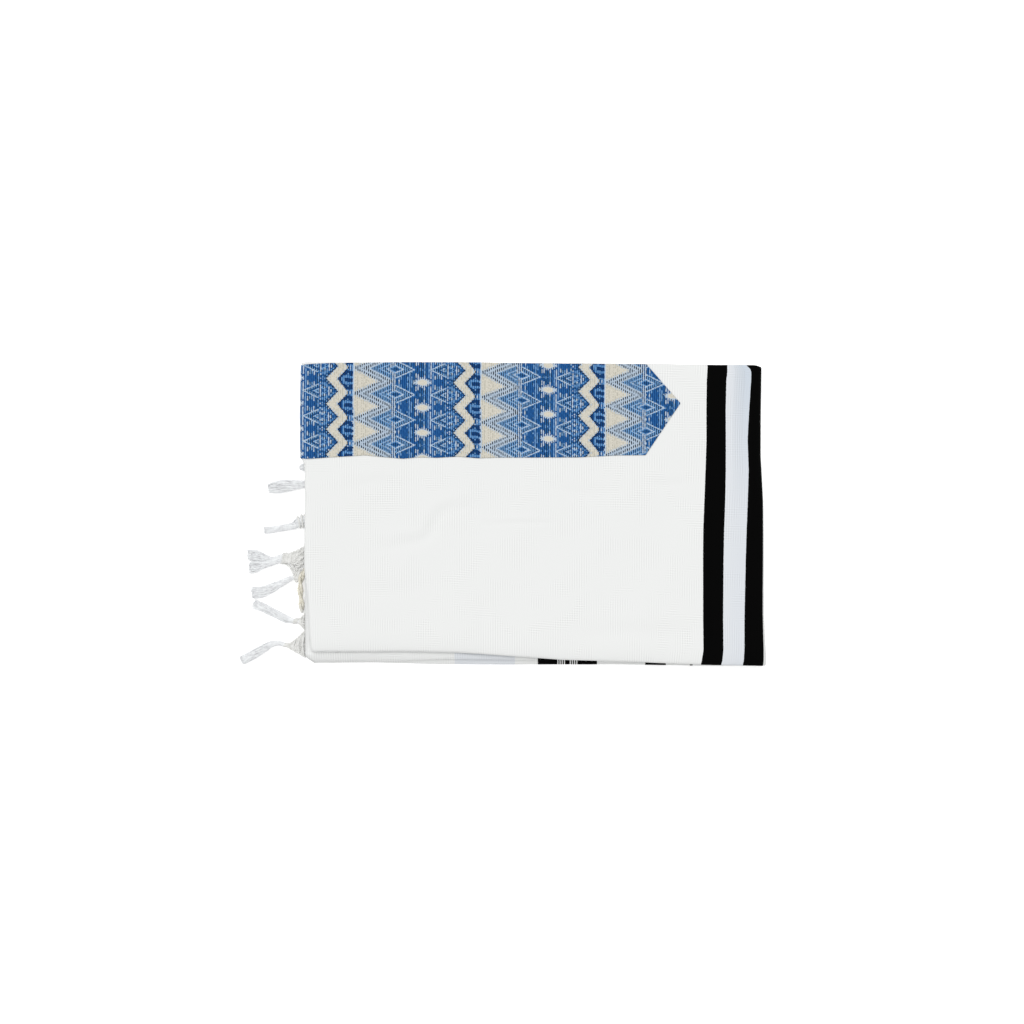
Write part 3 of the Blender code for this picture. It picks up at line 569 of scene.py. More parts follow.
def tubes(name, lines, radius, sides, reference, material, replaces=()):
    """Round tubes with pointed ends along lines, an array of (tube, place, xyz).

    A ring's points are the line's, plus the radius times the cosine and sine of its angle along
    two directions at right angles to the line, the first square to the reference direction too.
    """
    count, rings = lines.shape[:2]
    along = np.gradient(lines, axis=1)
    along /= np.linalg.norm(along, axis=-1, keepdims=True)
    side = np.cross(along, np.broadcast_to(reference, lines.shape))
    side /= np.linalg.norm(side, axis=-1, keepdims=True)
    up = np.cross(side, along)
    angle = 2 * math.pi * np.arange(sides) / sides
    radius = np.broadcast_to(radius, (count, rings))[..., None, None]
    ring = side[:, :, None] * np.cos(angle)[:, None] + up[:, :, None] * np.sin(angle)[:, None]
    points = (lines[:, :, None] + radius * ring).reshape(-1, 3)
    tips = np.stack([
        lines[:, 0] - along[:, 0] * radius[:, 0, :, 0] * TIP_LENGTH,
        lines[:, -1] + along[:, -1] * radius[:, -1, :, 0] * TIP_LENGTH,
    ], axis=1).reshape(-1, 3)
    corner = np.arange(count * rings * sides).reshape(count, rings, sides)
    turned = np.roll(corner, -1, axis=2)
    walls = np.stack([corner[:, :-1], corner[:, 1:], turned[:, 1:], turned[:, :-1]], axis=-1)
    tip = count * rings * sides + np.arange(count * 2).reshape(count, 2, 1)
    first = np.stack([np.broadcast_to(tip[:, 0], (count, sides)), corner[:, 0], turned[:, 0]], axis=-1)
    last = np.stack([np.broadcast_to(tip[:, 1], (count, sides)), turned[:, -1], corner[:, -1]], axis=-1)
    polygons = [walls.reshape(-1, 4), np.concatenate([first.reshape(-1, 3), last.reshape(-1, 3)])]
    return mesh_piece(name, np.concatenate([points, tips]), polygons, material, replaces)


def twisted(line, strands, offset, pitch, phase=0.0):
    """Lines of strands wound round each line of an array of (line, place, xyz)."""
    along = np.gradient(line, axis=1)
    along /= np.linalg.norm(along, axis=-1, keepdims=True)
    side = np.cross(along, UP)
    side /= np.linalg.norm(side, axis=-1, keepdims=True)
    up = np.cross(side, along)
    steps = np.linalg.norm(np.diff(line, axis=1), axis=-1)
    reached = np.concatenate([np.zeros((len(line), 1)), np.cumsum(steps, axis=1)], axis=1)
    start = 2 * math.pi * np.arange(strands) / strands + phase
    angle = (2 * math.pi * reached / pitch)[:, None] + start[:, None]
    wound = line[:, None] + offset * (
        side[:, None] * np.cos(angle)[..., None] + up[:, None] * np.sin(angle)[..., None]
    )
    return wound.reshape(-1, line.shape[1], 3)


# Materials


def add(tree, kind, inputs=None, **settings):
    """Adds a node. Its inputs are values, sockets, or nodes whose first output feeds them."""
    node = tree.nodes.new("ShaderNode" + kind)
    for name, value in settings.items():
        setattr(node, name, value)
    for key, value in (inputs or {}).items():
        if isinstance(value, bpy.types.Node):
            value = value.outputs[0]
        if isinstance(value, bpy.types.NodeSocket):
            tree.links.new(value, node.inputs[key])
        else:
            node.inputs[key].default_value = value
    return node


def new_material(name, roughness, specular, sheen=0.0):
    """A Principled material, its node tree and its shader, with the constants on the shader."""
    material = bpy.data.materials.new(name)
    material.use_nodes = True
    shader = material.node_tree.nodes["Principled BSDF"]
    shader.inputs["Roughness"].default_value = roughness
    shader.inputs["Specular IOR Level"].default_value = specular
    shader.inputs["Sheen Weight"].default_value = sheen
    shader.inputs["Sheen Roughness"].default_value = 0.6
    return material, material.node_tree, shader


def set_stops(ramp, stops, interpolation="CONSTANT"):
    """Gives a colour ramp its stops, as (place, colour)."""
    ramp.color_ramp.interpolation = interpolation
    elements = ramp.color_ramp.elements
    while len(elements) > 1:
        elements.remove(elements[-1])
    elements[0].position, elements[0].color = stops[0]
    for place, colour in stops[1:]:
        elements.new(place).color = colour


WHITE_WOOL = "#d8d9d8"
PALE_BLUE = "#cccfd3"
DEEPER_BLUE = "#bcc4cd"
BLACK_WOOL = "#050505"
# The stripes as woven: where each begins and ends, in distance along the shawl from the centre fold
BLACK_STRIPES = (
    (FIRST_LEFT, FIRST_RIGHT),
    (SECOND_LEFT, SECOND_RIGHT),
    (541.8 * MM, 544.7 * MM),
    (568.8 * MM, 589.5 * MM),
    (637.9 * MM, 697.4 * MM),
)
PALE_STRIPES = ((FIRST_RIGHT, SECOND_LEFT), (720.4 * MM, 780.9 * MM))
# The widest black stripe has fine white ribs on both sides of its middle
RIBS_MIDDLE = 667.7 * MM
RIBS_FROM, RIBS_TO = 1.9 * MM, 10.6 * MM
RIB_PITCH = 2.2 * MM


def inside_spans(tree, value, spans):
    """A node whose value is 1 where the given one lies inside any of the spans, and 0 elsewhere."""
    total = None
    for start, end in spans:
        inside = add(tree, "Math", {0: value, 1: (start + end) / 2, 2: (end - start) / 2},
                     operation="COMPARE")
        total = inside if total is None else add(tree, "Math", {0: total, 1: inside}, operation="MAXIMUM")
    return total


STRIPE_JAG = 0.5 * MM  # how far a stripe's edge swings from thread to thread
RIBS_TURN = 2.14  # the half turns by which the wave of the white ribs is moved
RIBS_CREST = 0.15  # the height of that wave above which a rib is white
BLUE_FROM, BLUE_TO = FIRST_RIGHT + 3 * MM, SECOND_LEFT - 4 * MM  # where the pale stripe turns bluer
DOTS_PITCH = 2.0 * MM  # of the grey ribs of dots down its middle
DOTS_MIDDLE, DOTS_HALF_WIDTH = FIRST_RIGHT + 12.5 * MM, 5 * MM
DOTS_DEPTH = 0.16  # how much darker the grey ribs are
WEAVE_PITCH = 2.4 * MM  # drawn, as the real 0.5 mm is too fine to show
WARP_PATCHES_FROM, WEFT_PATCHES_FROM = 0.47, 0.56  # the noise above which ribs begin to show
PATCH_FADE = 0.12  # the rise of noise from no ribs to full ones
WEAVE_GROOVE_SHADE = 0.12  # painted shade: how much lighter a rib is coloured than the groove beside it, whose darker colour stands in for its shade


def white_wool():
    """Bleached wool in plain weave: matt, with fine ribs that show in patches, and woven stripes.

    The threads lie about 0.5 mm apart, too fine to show, so their ribs are drawn 2.4 mm apart, with painted
    shade in the grooves between them.
    A wave texture has ten waves over pi units, which gives the scale from the ribs' pitch.
    """
    material, tree, shader = new_material("white_wool_plain_weave", 0.95, 0.03)
    uv = add(tree, "UVMap", uv_map="cloth").outputs["UV"]
    place = add(tree, "SeparateXYZ", {0: uv})
    along, across = place.outputs["X"], place.outputs["Y"]
    rough = add(tree, "TexNoise", {"Vector": uv, "Scale": 900.0, "Detail": 1.0})
    jag = add(tree, "Math", {0: rough.outputs["Fac"], 1: STRIPE_JAG, 2: along}, operation="MULTIPLY_ADD")
    edge = add(tree, "Math", {0: jag, 1: -STRIPE_JAG / 2}, operation="ADD")
    pale = add(tree, "Mix", {0: inside_spans(tree, edge, PALE_STRIPES), 6: linear(WHITE_WOOL),
                             7: linear(PALE_BLUE)}, data_type="RGBA")

    # The white ribs of the widest black stripe, mirrored about its middle
    aside = add(tree, "Math", {0: along, 1: RIBS_MIDDLE}, operation="SUBTRACT")
    aside = add(tree, "Math", {0: aside}, operation="ABSOLUTE")
    wave = add(tree, "Math", {0: aside, 1: 2 * math.pi / RIB_PITCH, 2: -math.pi * RIBS_TURN},
               operation="MULTIPLY_ADD")
    crest = add(tree, "Math", {0: wave}, operation="SINE")
    crest = add(tree, "Math", {0: crest, 1: RIBS_CREST}, operation="GREATER_THAN")
    inside = inside_spans(tree, aside, [(RIBS_FROM, RIBS_TO)])
    ribs = add(tree, "Math", {0: crest, 1: inside}, operation="MULTIPLY")
    unribbed = add(tree, "Math", {0: 1.0, 1: ribs}, operation="SUBTRACT")
    black = add(tree, "Math", {0: inside_spans(tree, edge, BLACK_STRIPES), 1: unribbed},
                operation="MULTIPLY")

    # The pale stripe turns bluer towards its right edge, most of all near the back selvedge, and
    # five grey ribs of dots run down its middle
    blueness = add(tree, "MapRange", {0: along, 1: BLUE_FROM, 2: BLUE_TO}, clamp=True)
    nearness = add(tree, "MapRange", {0: across, 1: 0.01, 2: 0.15, 3: 1.0, 4: 0.15}, clamp=True)
    on_pale = inside_spans(tree, along, [(FIRST_RIGHT, SECOND_LEFT)])
    tint = add(tree, "Math", {0: blueness, 1: nearness}, operation="MULTIPLY")
    tint = add(tree, "Math", {0: tint, 1: on_pale}, operation="MULTIPLY")
    tinted = add(tree, "Mix", {0: tint, 6: pale.outputs[2], 7: linear(DEEPER_BLUE)}, data_type="RGBA")
    striped = add(tree, "Mix", {0: black, 6: tinted.outputs[2], 7: linear(BLACK_WOOL)}, data_type="RGBA")
    columns = add(tree, "Math", {0: along, 1: 2 * math.pi / DOTS_PITCH}, operation="MULTIPLY")
    rows = add(tree, "Math", {0: across, 1: 2 * math.pi / DOTS_PITCH}, operation="MULTIPLY")
    columns = add(tree, "Math", {0: columns}, operation="SINE")
    dotted = add(tree, "Math", {0: columns, 1: 0.5, 2: 0.5}, operation="MULTIPLY_ADD")
    rows = add(tree, "Math", {0: rows}, operation="SINE")
    lines = add(tree, "Math", {0: rows, 1: 0.35, 2: 0.65}, operation="MULTIPLY_ADD")
    in_middle = add(tree, "Math", {0: along, 1: DOTS_MIDDLE, 2: DOTS_HALF_WIDTH}, operation="COMPARE")
    grey = add(tree, "Math", {0: dotted, 1: lines}, operation="MULTIPLY")
    grey = add(tree, "Math", {0: grey, 1: in_middle}, operation="MULTIPLY")
    grey = add(tree, "Math", {0: grey, 1: nearness}, operation="MULTIPLY")
    greyed = add(tree, "Math", {0: grey, 1: -DOTS_DEPTH, 2: 1.0}, operation="MULTIPLY_ADD")

    # The weave: ribs along the warp and lines along the weft, each in its own patches. Besides the bump,
    # the colour is darker in the grooves between them, as painted shade
    scale = math.pi / 10 / WEAVE_PITCH
    warp_wave = add(tree, "TexWave", {"Vector": uv, "Scale": scale}, bands_direction="X")
    weft_wave = add(tree, "TexWave", {"Vector": uv, "Scale": scale}, bands_direction="Y")
    warp_patch = add(tree, "TexNoise", {"Vector": uv, "Scale": 34.0, "Detail": 2.0})
    weft_patch = add(tree, "TexNoise", {"Vector": uv, "Scale": 21.0, "Detail": 2.0, "Distortion": 1.5})
    parts = []
    for pattern, patch, low in ((warp_wave, warp_patch, WARP_PATCHES_FROM),
                                (weft_wave, weft_patch, WEFT_PATCHES_FROM)):
        mask = add(tree, "MapRange", {0: patch.outputs["Fac"], 1: low, 2: low + PATCH_FADE}, clamp=True)
        swing = add(tree, "Math", {0: pattern.outputs["Fac"], 1: -0.5}, operation="ADD")
        parts.append(add(tree, "Math", {0: swing, 1: mask}, operation="MULTIPLY"))
    fuzz = add(tree, "TexNoise", {"Vector": uv, "Scale": 700.0, "Detail": 3.0})
    weave = add(tree, "Math", dict(enumerate(parts)), operation="ADD")
    relief = add(tree, "Math", {0: fuzz.outputs["Fac"], 1: 0.7, 2: weave}, operation="MULTIPLY_ADD")
    # Painted shade: the weave darkens the colour in its grooves and lightens it on its ribs
    tone = add(tree, "Math", {0: weave, 1: WEAVE_GROOVE_SHADE, 2: 1.0}, operation="MULTIPLY_ADD")
    tone = add(tree, "Math", {0: tone, 1: greyed}, operation="MULTIPLY")
    colour = add(tree, "VectorMath", {0: striped.outputs[2], "Scale": tone}, operation="SCALE")
    bump = add(tree, "Bump", {"Strength": 0.5, "Distance": 0.20 * MM, "Height": relief})
    tree.links.new(colour.outputs[0], shader.inputs["Base Color"])
    tree.links.new(bump.outputs[0], shader.inputs["Normal"])
    return material


# The neckband's yarns, from dark to light
INK, NAVY, ROYAL, BLUE, SKY, MIST, ICE, OAT, ECRU = range(9)
YARN_COLOURS = ("#080e1c", "#0a284a", "#093a72", "#23588f", "#6690ba", "#6f7e90", "#a7b6c5", "#aeab9e",
                "#c2beb2")


def jacquard():
    """Cotton jacquard: matt coloured yarns in a ribbed weave, each float a little lighter on top."""
    material, tree, shader = new_material("cotton_jacquard", 0.85, 0.10, sheen=0.03)
    yarn = add(tree, "Attribute", attribute_name="yarn")
    colours = add(tree, "ValToRGB", {"Fac": yarn.outputs["Fac"]})
    set_stops(colours, [(k / len(YARN_COLOURS), linear(c)) for k, c in enumerate(YARN_COLOURS)])
    uv = add(tree, "UVMap", uv_map="cloth").outputs["UV"]
    scale = math.pi / 10 / (2 * BAND_CELL[0])
    wave = add(tree, "TexWave", {"Vector": uv, "Scale": scale}, bands_direction="X")
    grain = add(tree, "TexNoise", {"Vector": uv, "Scale": 800.0, "Detail": 3.0})
    tone = add(tree, "MapRange", {0: grain.outputs["Fac"], 1: 0.25, 2: 0.75, 3: 0.84, 4: 1.14})
    colour = add(tree, "VectorMath", {0: colours.outputs["Color"], "Scale": tone}, operation="SCALE")
    relief = add(tree, "Math", {0: grain.outputs["Fac"], 1: 0.6, 2: wave.outputs["Fac"]},
                 operation="MULTIPLY_ADD")
    bump = add(tree, "Bump", {"Strength": 0.6, "Distance": 0.3 * MM, "Height": relief})
    tree.links.new(colour.outputs[0], shader.inputs["Base Color"])
    tree.links.new(bump.outputs[0], shader.inputs["Normal"])
    return material


GREYED_YARN = "#cbcac6"


def yarn_material(name, pale, deep, scale, greyed=None):
    """Soft spun yarn: matt, with fibres that catch a little light and tone that changes along it.

    Greyed gives the y where the yarn begins to turn greyer, and the y where it is greyest.
    """
    material, tree, shader = new_material(name, 0.9, 0.05, sheen=0.08)
    position = add(tree, "TexCoord").outputs["Object"]
    cloud = add(tree, "TexNoise", {"Vector": position, "Scale": scale, "Detail": 3.0})
    tones = add(tree, "ValToRGB", {"Fac": cloud.outputs["Fac"]})
    set_stops(tones, [(0.35, linear(deep)), (0.62, linear(pale))], "LINEAR")
    colour = tones.outputs["Color"]
    if greyed:
        y = add(tree, "SeparateXYZ", {0: position}).outputs["Y"]
        share = add(tree, "MapRange", {0: y, 1: greyed[0], 2: greyed[1]}, clamp=True)
        greying = add(tree, "Mix", {0: share, 6: colour, 7: linear(GREYED_YARN)}, data_type="RGBA")
        colour = greying.outputs[2]
    fibre = add(tree, "TexNoise", {"Vector": position, "Scale": 2600.0, "Detail": 2.0})
    bump = add(tree, "Bump", {"Strength": 0.5, "Distance": 0.15 * MM, "Height": fibre.outputs["Fac"]})
    tree.links.new(colour, shader.inputs["Base Color"])
    tree.links.new(bump.outputs[0], shader.inputs["Normal"])
    return material


def floor_material():
    """An opal acrylic light table: matt, even, and lit a little from below."""
    material, tree, shader = new_material("opal_light_table", 0.9, 0.2)
    shader.inputs["Emission Color"].default_value = linear("#ffffff")
    shader.inputs["Emission Strength"].default_value = 0.22
    position = add(tree, "TexCoord").outputs["Object"]
    tooth = add(tree, "TexNoise", {"Vector": position, "Scale": 400.0, "Detail": 2.0})
    bump = add(tree, "Bump", {"Strength": 0.05, "Distance": 0.1 * MM, "Height": tooth.outputs["Fac"]})
    shader.inputs["Base Color"].default_value = linear("#fafafa")
    tree.links.new(bump.outputs[0], shader.inputs["Normal"])
    return material


# The cloth

Columns = namedtuple("Columns", "share offset depth")


def ply_columns(start, end, start_offset, end_offset, depth, count):
    """Columns straight across a strip: a share from its back (0) to its front (1), plus an offset."""
    t = np.linspace(0, 1, count)
    return Columns(start + (end - start) * t, start_offset + (end_offset - start_offset) * t,
                   np.full(count, depth))


def fold_columns(share, centre_offset, centre_depth, radius, start, end, side, count):
    """Columns round a fold, from one angle to another, bulging to side -1 (front) or 1 (back)."""
    angle = np.radians(np.linspace(start, end, count))
    return Columns(np.full(count, share), centre_offset + side * radius * np.sin(angle),
                   centre_depth - radius * np.cos(angle))


def joined(*groups):
    """One row of columns from several, without the repeated ones where they meet."""
    share, offset, depth = (np.concatenate([getattr(g, key) for g in groups]) for key in Columns._fields)
    step = np.abs(np.diff(share)) + np.abs(np.diff(offset)) / MM + np.abs(np.diff(depth)) / MM
    keep = np.append(True, step > 1e-6)
    return Columns(share[keep], offset[keep], depth[keep])


def places_along(stretches):
    """Distances along the cloth from (start, end, step) stretches."""
    parts = [np.linspace(start, end, max(2, round(abs(end - start) / step) + 1))
             for start, end, step in stretches]
    return np.concatenate([parts[0]] + [part[1:] for part in parts[1:]])


RAGGED_LENGTHS = (0.210, 0.083, 0.031)  # of the three waves by which a woven edge wanders
BACK_DRAW = 2.2 * MM  # how far the back edge draws in halfway round the right fold
WANDER_FADE = 14  # the back edge's wander is gone a fourteenth of the way across a ply


def ragged(s, seed):
    """How a woven edge wanders, from -1 to 1: three sine waves along it with their own phases."""
    phase = np.random.default_rng(seed).uniform(0, 2 * math.pi, 3)
    waves = [np.sin(2 * math.pi * s / length + p) for length, p in zip(RAGGED_LENGTHS, phase)]
    return (waves[0] + 0.7 * waves[1] + 0.3 * waves[2]) / 2


def cloth_points(s, columns, wander, seed):
    """A grid of cloth: a row for each distance s along it, a column for each place across."""
    back = edge_at(BACK_EDGES, s)
    right = np.clip((s - TOP_END) / RIGHT_ARC, 0, 1)
    back = (back - BACK_DRAW * np.sin(math.pi * right) ** 2)[:, None]
    front = edge_at(FRONT_FOLDS, s)[:, None]
    near_back = np.clip(1 - columns.share * WANDER_FADE, 0, 1)
    wandering = wander * ragged(s, seed)[:, None] * near_back
    y = back + (front - back) * columns.share + columns.offset + wandering
    x, z = packet_line(s[:, None], columns.depth[None, :])
    return np.stack([x, y, z], axis=-1)


STRIPE_EASE = 20 * MM  # the distance past a fold over which stripes fall in line with those above
UNDER_STRIPE_LEAD = 1.5 * MM  # how much sooner stripes come under the packet than on a straight ply


def stripe_distance(s, points):
    """The woven distance along the shawl of cloth that lies a little skewed where its stripes show.

    Where a stripe's edge is seen on top of the packet, it is that edge's woven distance; between
    the edges, and from the last one to the right fold's end, it is shared out evenly. Under the
    packet, stripes lie straight across it, in line with those of the strip above.
    """
    x, y = points[..., 0], points[..., 1]
    right = np.clip((s - TOP_END) / RIGHT_ARC, 0, 1)[:, None]
    shift = settled(points)[..., 0] - x
    distance = s[:, None] + shift * (1 - right)
    edges = [LEFT_HALF - LEFT_CENTRE_X + column(STRIPE_PLACES, "y", y, name)
             for name in ("first_left", "first_right", "second_left")]
    seen = [np.full(y.shape, STRIPES_START)] + edges + [np.full(y.shape, TOP_END + RIGHT_ARC)]
    woven = (STRIPES_START, FIRST_LEFT, FIRST_RIGHT, SECOND_LEFT, TOP_END + RIGHT_ARC)
    result = distance.copy()
    for k in range(len(edges) + 1):
        part = np.clip((distance - seen[k]) / (seen[k + 1] - seen[k]), 0, 1)
        result += part * ((woven[k + 1] - woven[k]) - (seen[k + 1] - seen[k]))
    under = np.clip((s - TOP_END - RIGHT_ARC) / STRIPE_EASE, 0, 1)[:, None]
    return result - under * (shift + UNDER_STRIPE_LEAD)


def across_distance(points):
    """Distance across the cloth from its first column, measured along the grid's middle row."""
    middle = points[len(points) // 2]
    steps = np.linalg.norm(np.diff(middle, axis=0), axis=1)
    return np.append(0, np.cumsum(steps))


def make_outer_cloth(material):
    """The outermost ply: its panel, its front fold and the start of the ply that returns."""
    s = places_along((
        (TUCK_END, -LEFT_HALF, 4 * MM),
        (-LEFT_HALF, LEFT_HALF, 1.0 * MM),
        (LEFT_HALF, TOP_END, 2.6 * MM),
        (TOP_END, TOP_END + RIGHT_ARC, 1.3 * MM),
        (TOP_END + RIGHT_ARC, OUTER_HALF_END, 5 * MM),
    ))
    columns = joined(
        ply_columns(0, 0.05, 0, 0, FIRST, 14),
        ply_columns(0.05, 1, 0, FRONT_CENTRE, FIRST, 112),
        fold_columns(1, FRONT_CENTRE, FOLD_DEPTH, OUTER_FOLD, 0, 180, -1, 11),
        ply_columns(1, 1, FRONT_CENTRE, FRONT_CENTRE + CURL_RETURN, FOURTH, 5),
    )
    straight = cloth_points(s, columns, 0.25 * MM, SEED)
    across = across_distance(straight)
    woven = np.abs(stripe_distance(s, straight))
    points = settled(straight).reshape(-1, 3)
    obj = mesh_piece("shawl_outer_ply", points, [grid_faces(*straight.shape[:2])], material,
                     ["outer_cloth"])
    give_uv(obj, np.stack(np.broadcast_arrays(woven, across[None, :]), axis=-1))
    give_wall(obj, PLY)
    return obj


def make_inner_plies(material):
    """The three plies inside the outermost one, which fold back and forth in one sheet."""
    s = places_along((
        (TUCK_END, -LEFT_HALF, 5 * MM),
        (-LEFT_HALF, LEFT_HALF, 1.4 * MM),
        (LEFT_HALF, TOP_END, 6 * MM),
        (TOP_END, TOP_END + RIGHT_ARC, 1.9 * MM),
        (TOP_END + RIGHT_ARC, OUTER_HALF_END, 6 * MM),
    ))
    inset = 1.6 * MM
    columns = joined(
        ply_columns(1, 0.04, FRONT_CENTRE + CURL_RETURN + 0.3 * MM, -inset, FOURTH, 16),
        ply_columns(0.04, 0, -inset, -inset, FOURTH, 4),
        fold_columns(0, -inset, (FOURTH + THIRD) / 2, NESTED_FOLD, 180, 0, 1, 7),
        ply_columns(0, 0.04, -inset, -inset, THIRD, 4),
        ply_columns(0.04, 1, -inset, FRONT_CENTRE, THIRD, 16),
        fold_columns(1, FRONT_CENTRE, FOLD_DEPTH, NESTED_FOLD, 180, 0, -1, 7),
        ply_columns(1, 0.04, FRONT_CENTRE, -0.5 * inset, SECOND, 16),
        ply_columns(0.04, 0, -0.5 * inset, -0.5 * inset, SECOND, 5),
    )
    straight = cloth_points(s, columns, 0.45 * MM, SEED + 1)
    points = settled(straight).reshape(-1, 3)
    obj = mesh_piece("shawl_inner_plies", points, [grid_faces(*straight.shape[:2])], material,
                     ["inner_folds"])
    across = across_distance(straight)
    give_uv(obj, np.stack(np.broadcast_arrays(np.abs(s)[:, None], across[None, :]), axis=-1))
    give_wall(obj, PLY)
    return obj


INNER_STRIPE_LAG = 22.2 * MM  # the inner half's stripes come this much sooner than the fold's places


def make_inner_half(material):
    """The second and third strips: all four plies of the shawl's inner half in one sheet."""
    s = -places_along((
        (-TUCK_END, TOP_END, 6 * MM),
        (TOP_END, TOP_END + INNER_ARC, 1.0 * MM),
        (TOP_END + INNER_ARC, -INNER_HALF_END, 5 * MM),
    ))
    inset = 1.2 * MM
    columns = joined(
        ply_columns(0, 0.04, 0, 0, FIRST, 5),
        ply_columns(0.04, 0.94, 0, 0, FIRST, 14),
        ply_columns(0.94, 1, 0, FRONT_CENTRE, FIRST, 10),
        fold_columns(1, FRONT_CENTRE, FOLD_DEPTH, OUTER_FOLD, 0, 180, -1, 11),
        ply_columns(1, 0.04, FRONT_CENTRE, -inset, FOURTH, 14),
        ply_columns(0.04, 0, -inset, -inset, FOURTH, 4),
        fold_columns(0, -inset, (FOURTH + THIRD) / 2, NESTED_FOLD, 180, 0, 1, 7),
        ply_columns(0, 0.04, -inset, -inset, THIRD, 4),
        ply_columns(0.04, 1, -inset, FRONT_CENTRE, THIRD, 14),
        fold_columns(1, FRONT_CENTRE, FOLD_DEPTH, NESTED_FOLD, 180, 0, -1, 7),
        ply_columns(1, 0.04, FRONT_CENTRE, -0.5 * inset, SECOND, 14),
        ply_columns(0.04, 0, -0.5 * inset, -0.5 * inset, SECOND, 4),
    )
    straight = cloth_points(s, columns, 0.40 * MM, SEED + 2)
    soft = settled(straight)
    obj = mesh_piece("shawl_inner_half", soft.reshape(-1, 3), [grid_faces(*straight.shape[:2])], material,
                     ["inner_folds"])
    across = across_distance(straight)
    third = np.clip((-s - TOP_END - INNER_ARC) / STRIPE_EASE, 0, 1)[:, None]
    woven = np.abs(s)[:, None] + INNER_STRIPE_LAG - third * (soft - straight)[..., 0]
    give_uv(obj, np.stack(np.broadcast_arrays(woven, across[None, :]), axis=-1))
    give_wall(obj, PLY)
    return obj


# The neckband's weave. Distances along it start at the left fold, and those across it at the
# packet's back edge. Its rows drift and close up a little towards the point
BAND_START_X = -0.2300
BAND_BACK_Y = 0.1515
REPEAT_STARTS = (-77.3 * MM, 50.0 * MM, 177.3 * MM, 301.5 * MM, 426.0 * MM)
REPEAT = 127.0  # one repeat of the chart, in its own millimetres
CELLS_IN_REPEAT = 120  # its woven columns, every other one a light thread
ROW_REPEAT = 25.0
RowPlace = namedtuple("RowPlace", "along first pitch")
ROW_PLACES = (
    RowPlace(0.0, 3.0 * MM, 25.4 * MM),
    RowPlace(32.5 * MM, 4.0 * MM, 25.3 * MM),
    RowPlace(51.5 * MM, 6.0 * MM, 25.2 * MM),
    RowPlace(118.5 * MM, 8.0 * MM, 25.1 * MM),
    RowPlace(160.0 * MM, 8.4 * MM, 25.0 * MM),
    RowPlace(180.0 * MM, 10.5 * MM, 25.0 * MM),
    RowPlace(246.0 * MM, 15.7 * MM, 24.5 * MM),
    RowPlace(286.0 * MM, 17.8 * MM, 24.3 * MM),
    RowPlace(303.0 * MM, 20.0 * MM, 24.2 * MM),
    RowPlace(364.0 * MM, 22.0 * MM, 24.0 * MM),
)
# The chevrons: rings round a diamond's centre, as far along the band as their outer and inner
# edges reach from it. Light threads alternate with dark ones, or are all that shows in thin lines
Ring = namedtuple("Ring", "outer inner light dark")
CHEVRON_CENTRE, CHEVRON_SLOPE = 42.1, 0.47
CHEVRON_RINGS = (
    Ring(43.4, 42.6, ICE, ECRU),
    Ring(42.6, 38.4, ICE, INK),
    Ring(38.4, 36.8, ICE, MIST),
    Ring(36.8, 35.0, ICE, ICE),
    Ring(35.0, 33.2, ICE, MIST),
    Ring(33.2, 28.8, ICE, INK),
    Ring(28.8, 27.4, ICE, MIST),
    Ring(27.4, 25.6, ICE, ICE),
    Ring(25.6, 23.6, SKY, MIST),
    Ring(23.6, 17.8, SKY, NAVY),
    Ring(17.8, 16.6, SKY, BLUE),
    Ring(16.6, 14.8, ICE, SKY),
    Ring(14.8, 9.8, SKY, NAVY),
    Ring(9.8, 7.2, ICE, SKY),
    Ring(7.2, 4.8, SKY, BLUE),
    Ring(4.8, 0.0, BLUE, NAVY),
)
CHEVRON_BACK_RINGS = (
    Ring(20.8, 19.6, SKY, BLUE),
    Ring(19.6, 17.4, ICE, ICE),
    Ring(17.4, 15.8, BLUE, NAVY),
    Ring(15.8, 10.2, SKY, NAVY),
    Ring(10.2, 8.8, SKY, BLUE),
    Ring(8.8, 6.6, ICE, ICE),
    Ring(6.6, 4.8, SKY, BLUE),
    Ring(4.8, 0.0, BLUE, NAVY),
)
DIAMOND_CENTRE, DIAMOND_SLOPE = 95.2, 0.435
DIAMOND_RINGS = (
    Ring(20.4, 19.4, SKY, BLUE),
    Ring(19.4, 17.4, ICE, ICE),
    Ring(17.4, 13.2, SKY, NAVY),
    Ring(13.2, 8.8, BLUE, NAVY),
    Ring(8.8, 6.6, ICE, SKY),
    Ring(6.6, 2.4, SKY, NAVY),
    Ring(2.4, 0.0, BLUE, NAVY),
)
DIAMOND_FAR_RINGS = (
    Ring(20.4, 16.4, SKY, BLUE),
    Ring(8.6, 6.0, SKY, SKY),
)
LOZENGE_CENTRE, LOZENGE_HALF_LENGTH, LOZENGE_HALF_HEIGHT = 68.9, 8.8, 3.7
LOZENGE_POWER = 1.4  # its height falls towards its ends by this power of the share of its length
LOZENGE_HALO, LOZENGE_RIM, LOZENGE_ENDS = 1.6, 0.8, 0.55
POINT_TIP, POINT_NOTCH = 111.8, 99.8  # where the ecru points start on a row, and between two
LOBE_TIP, LOBE_NOTCH = 110.9, 121.0  # where a lobe starts between two rows, and on a row
LOBE_SPOT, LOBE_SPOT_HALF_WIDTH = 116.6, 1.3  # the light spot inside it
LIGHT_EDGE = 126.5  # the light line where two repeats meet
LIGHT_EDGE_WIDTH = 1.1
BORDER_REACH = 46.2  # how far the light border of the ecru triangles reaches
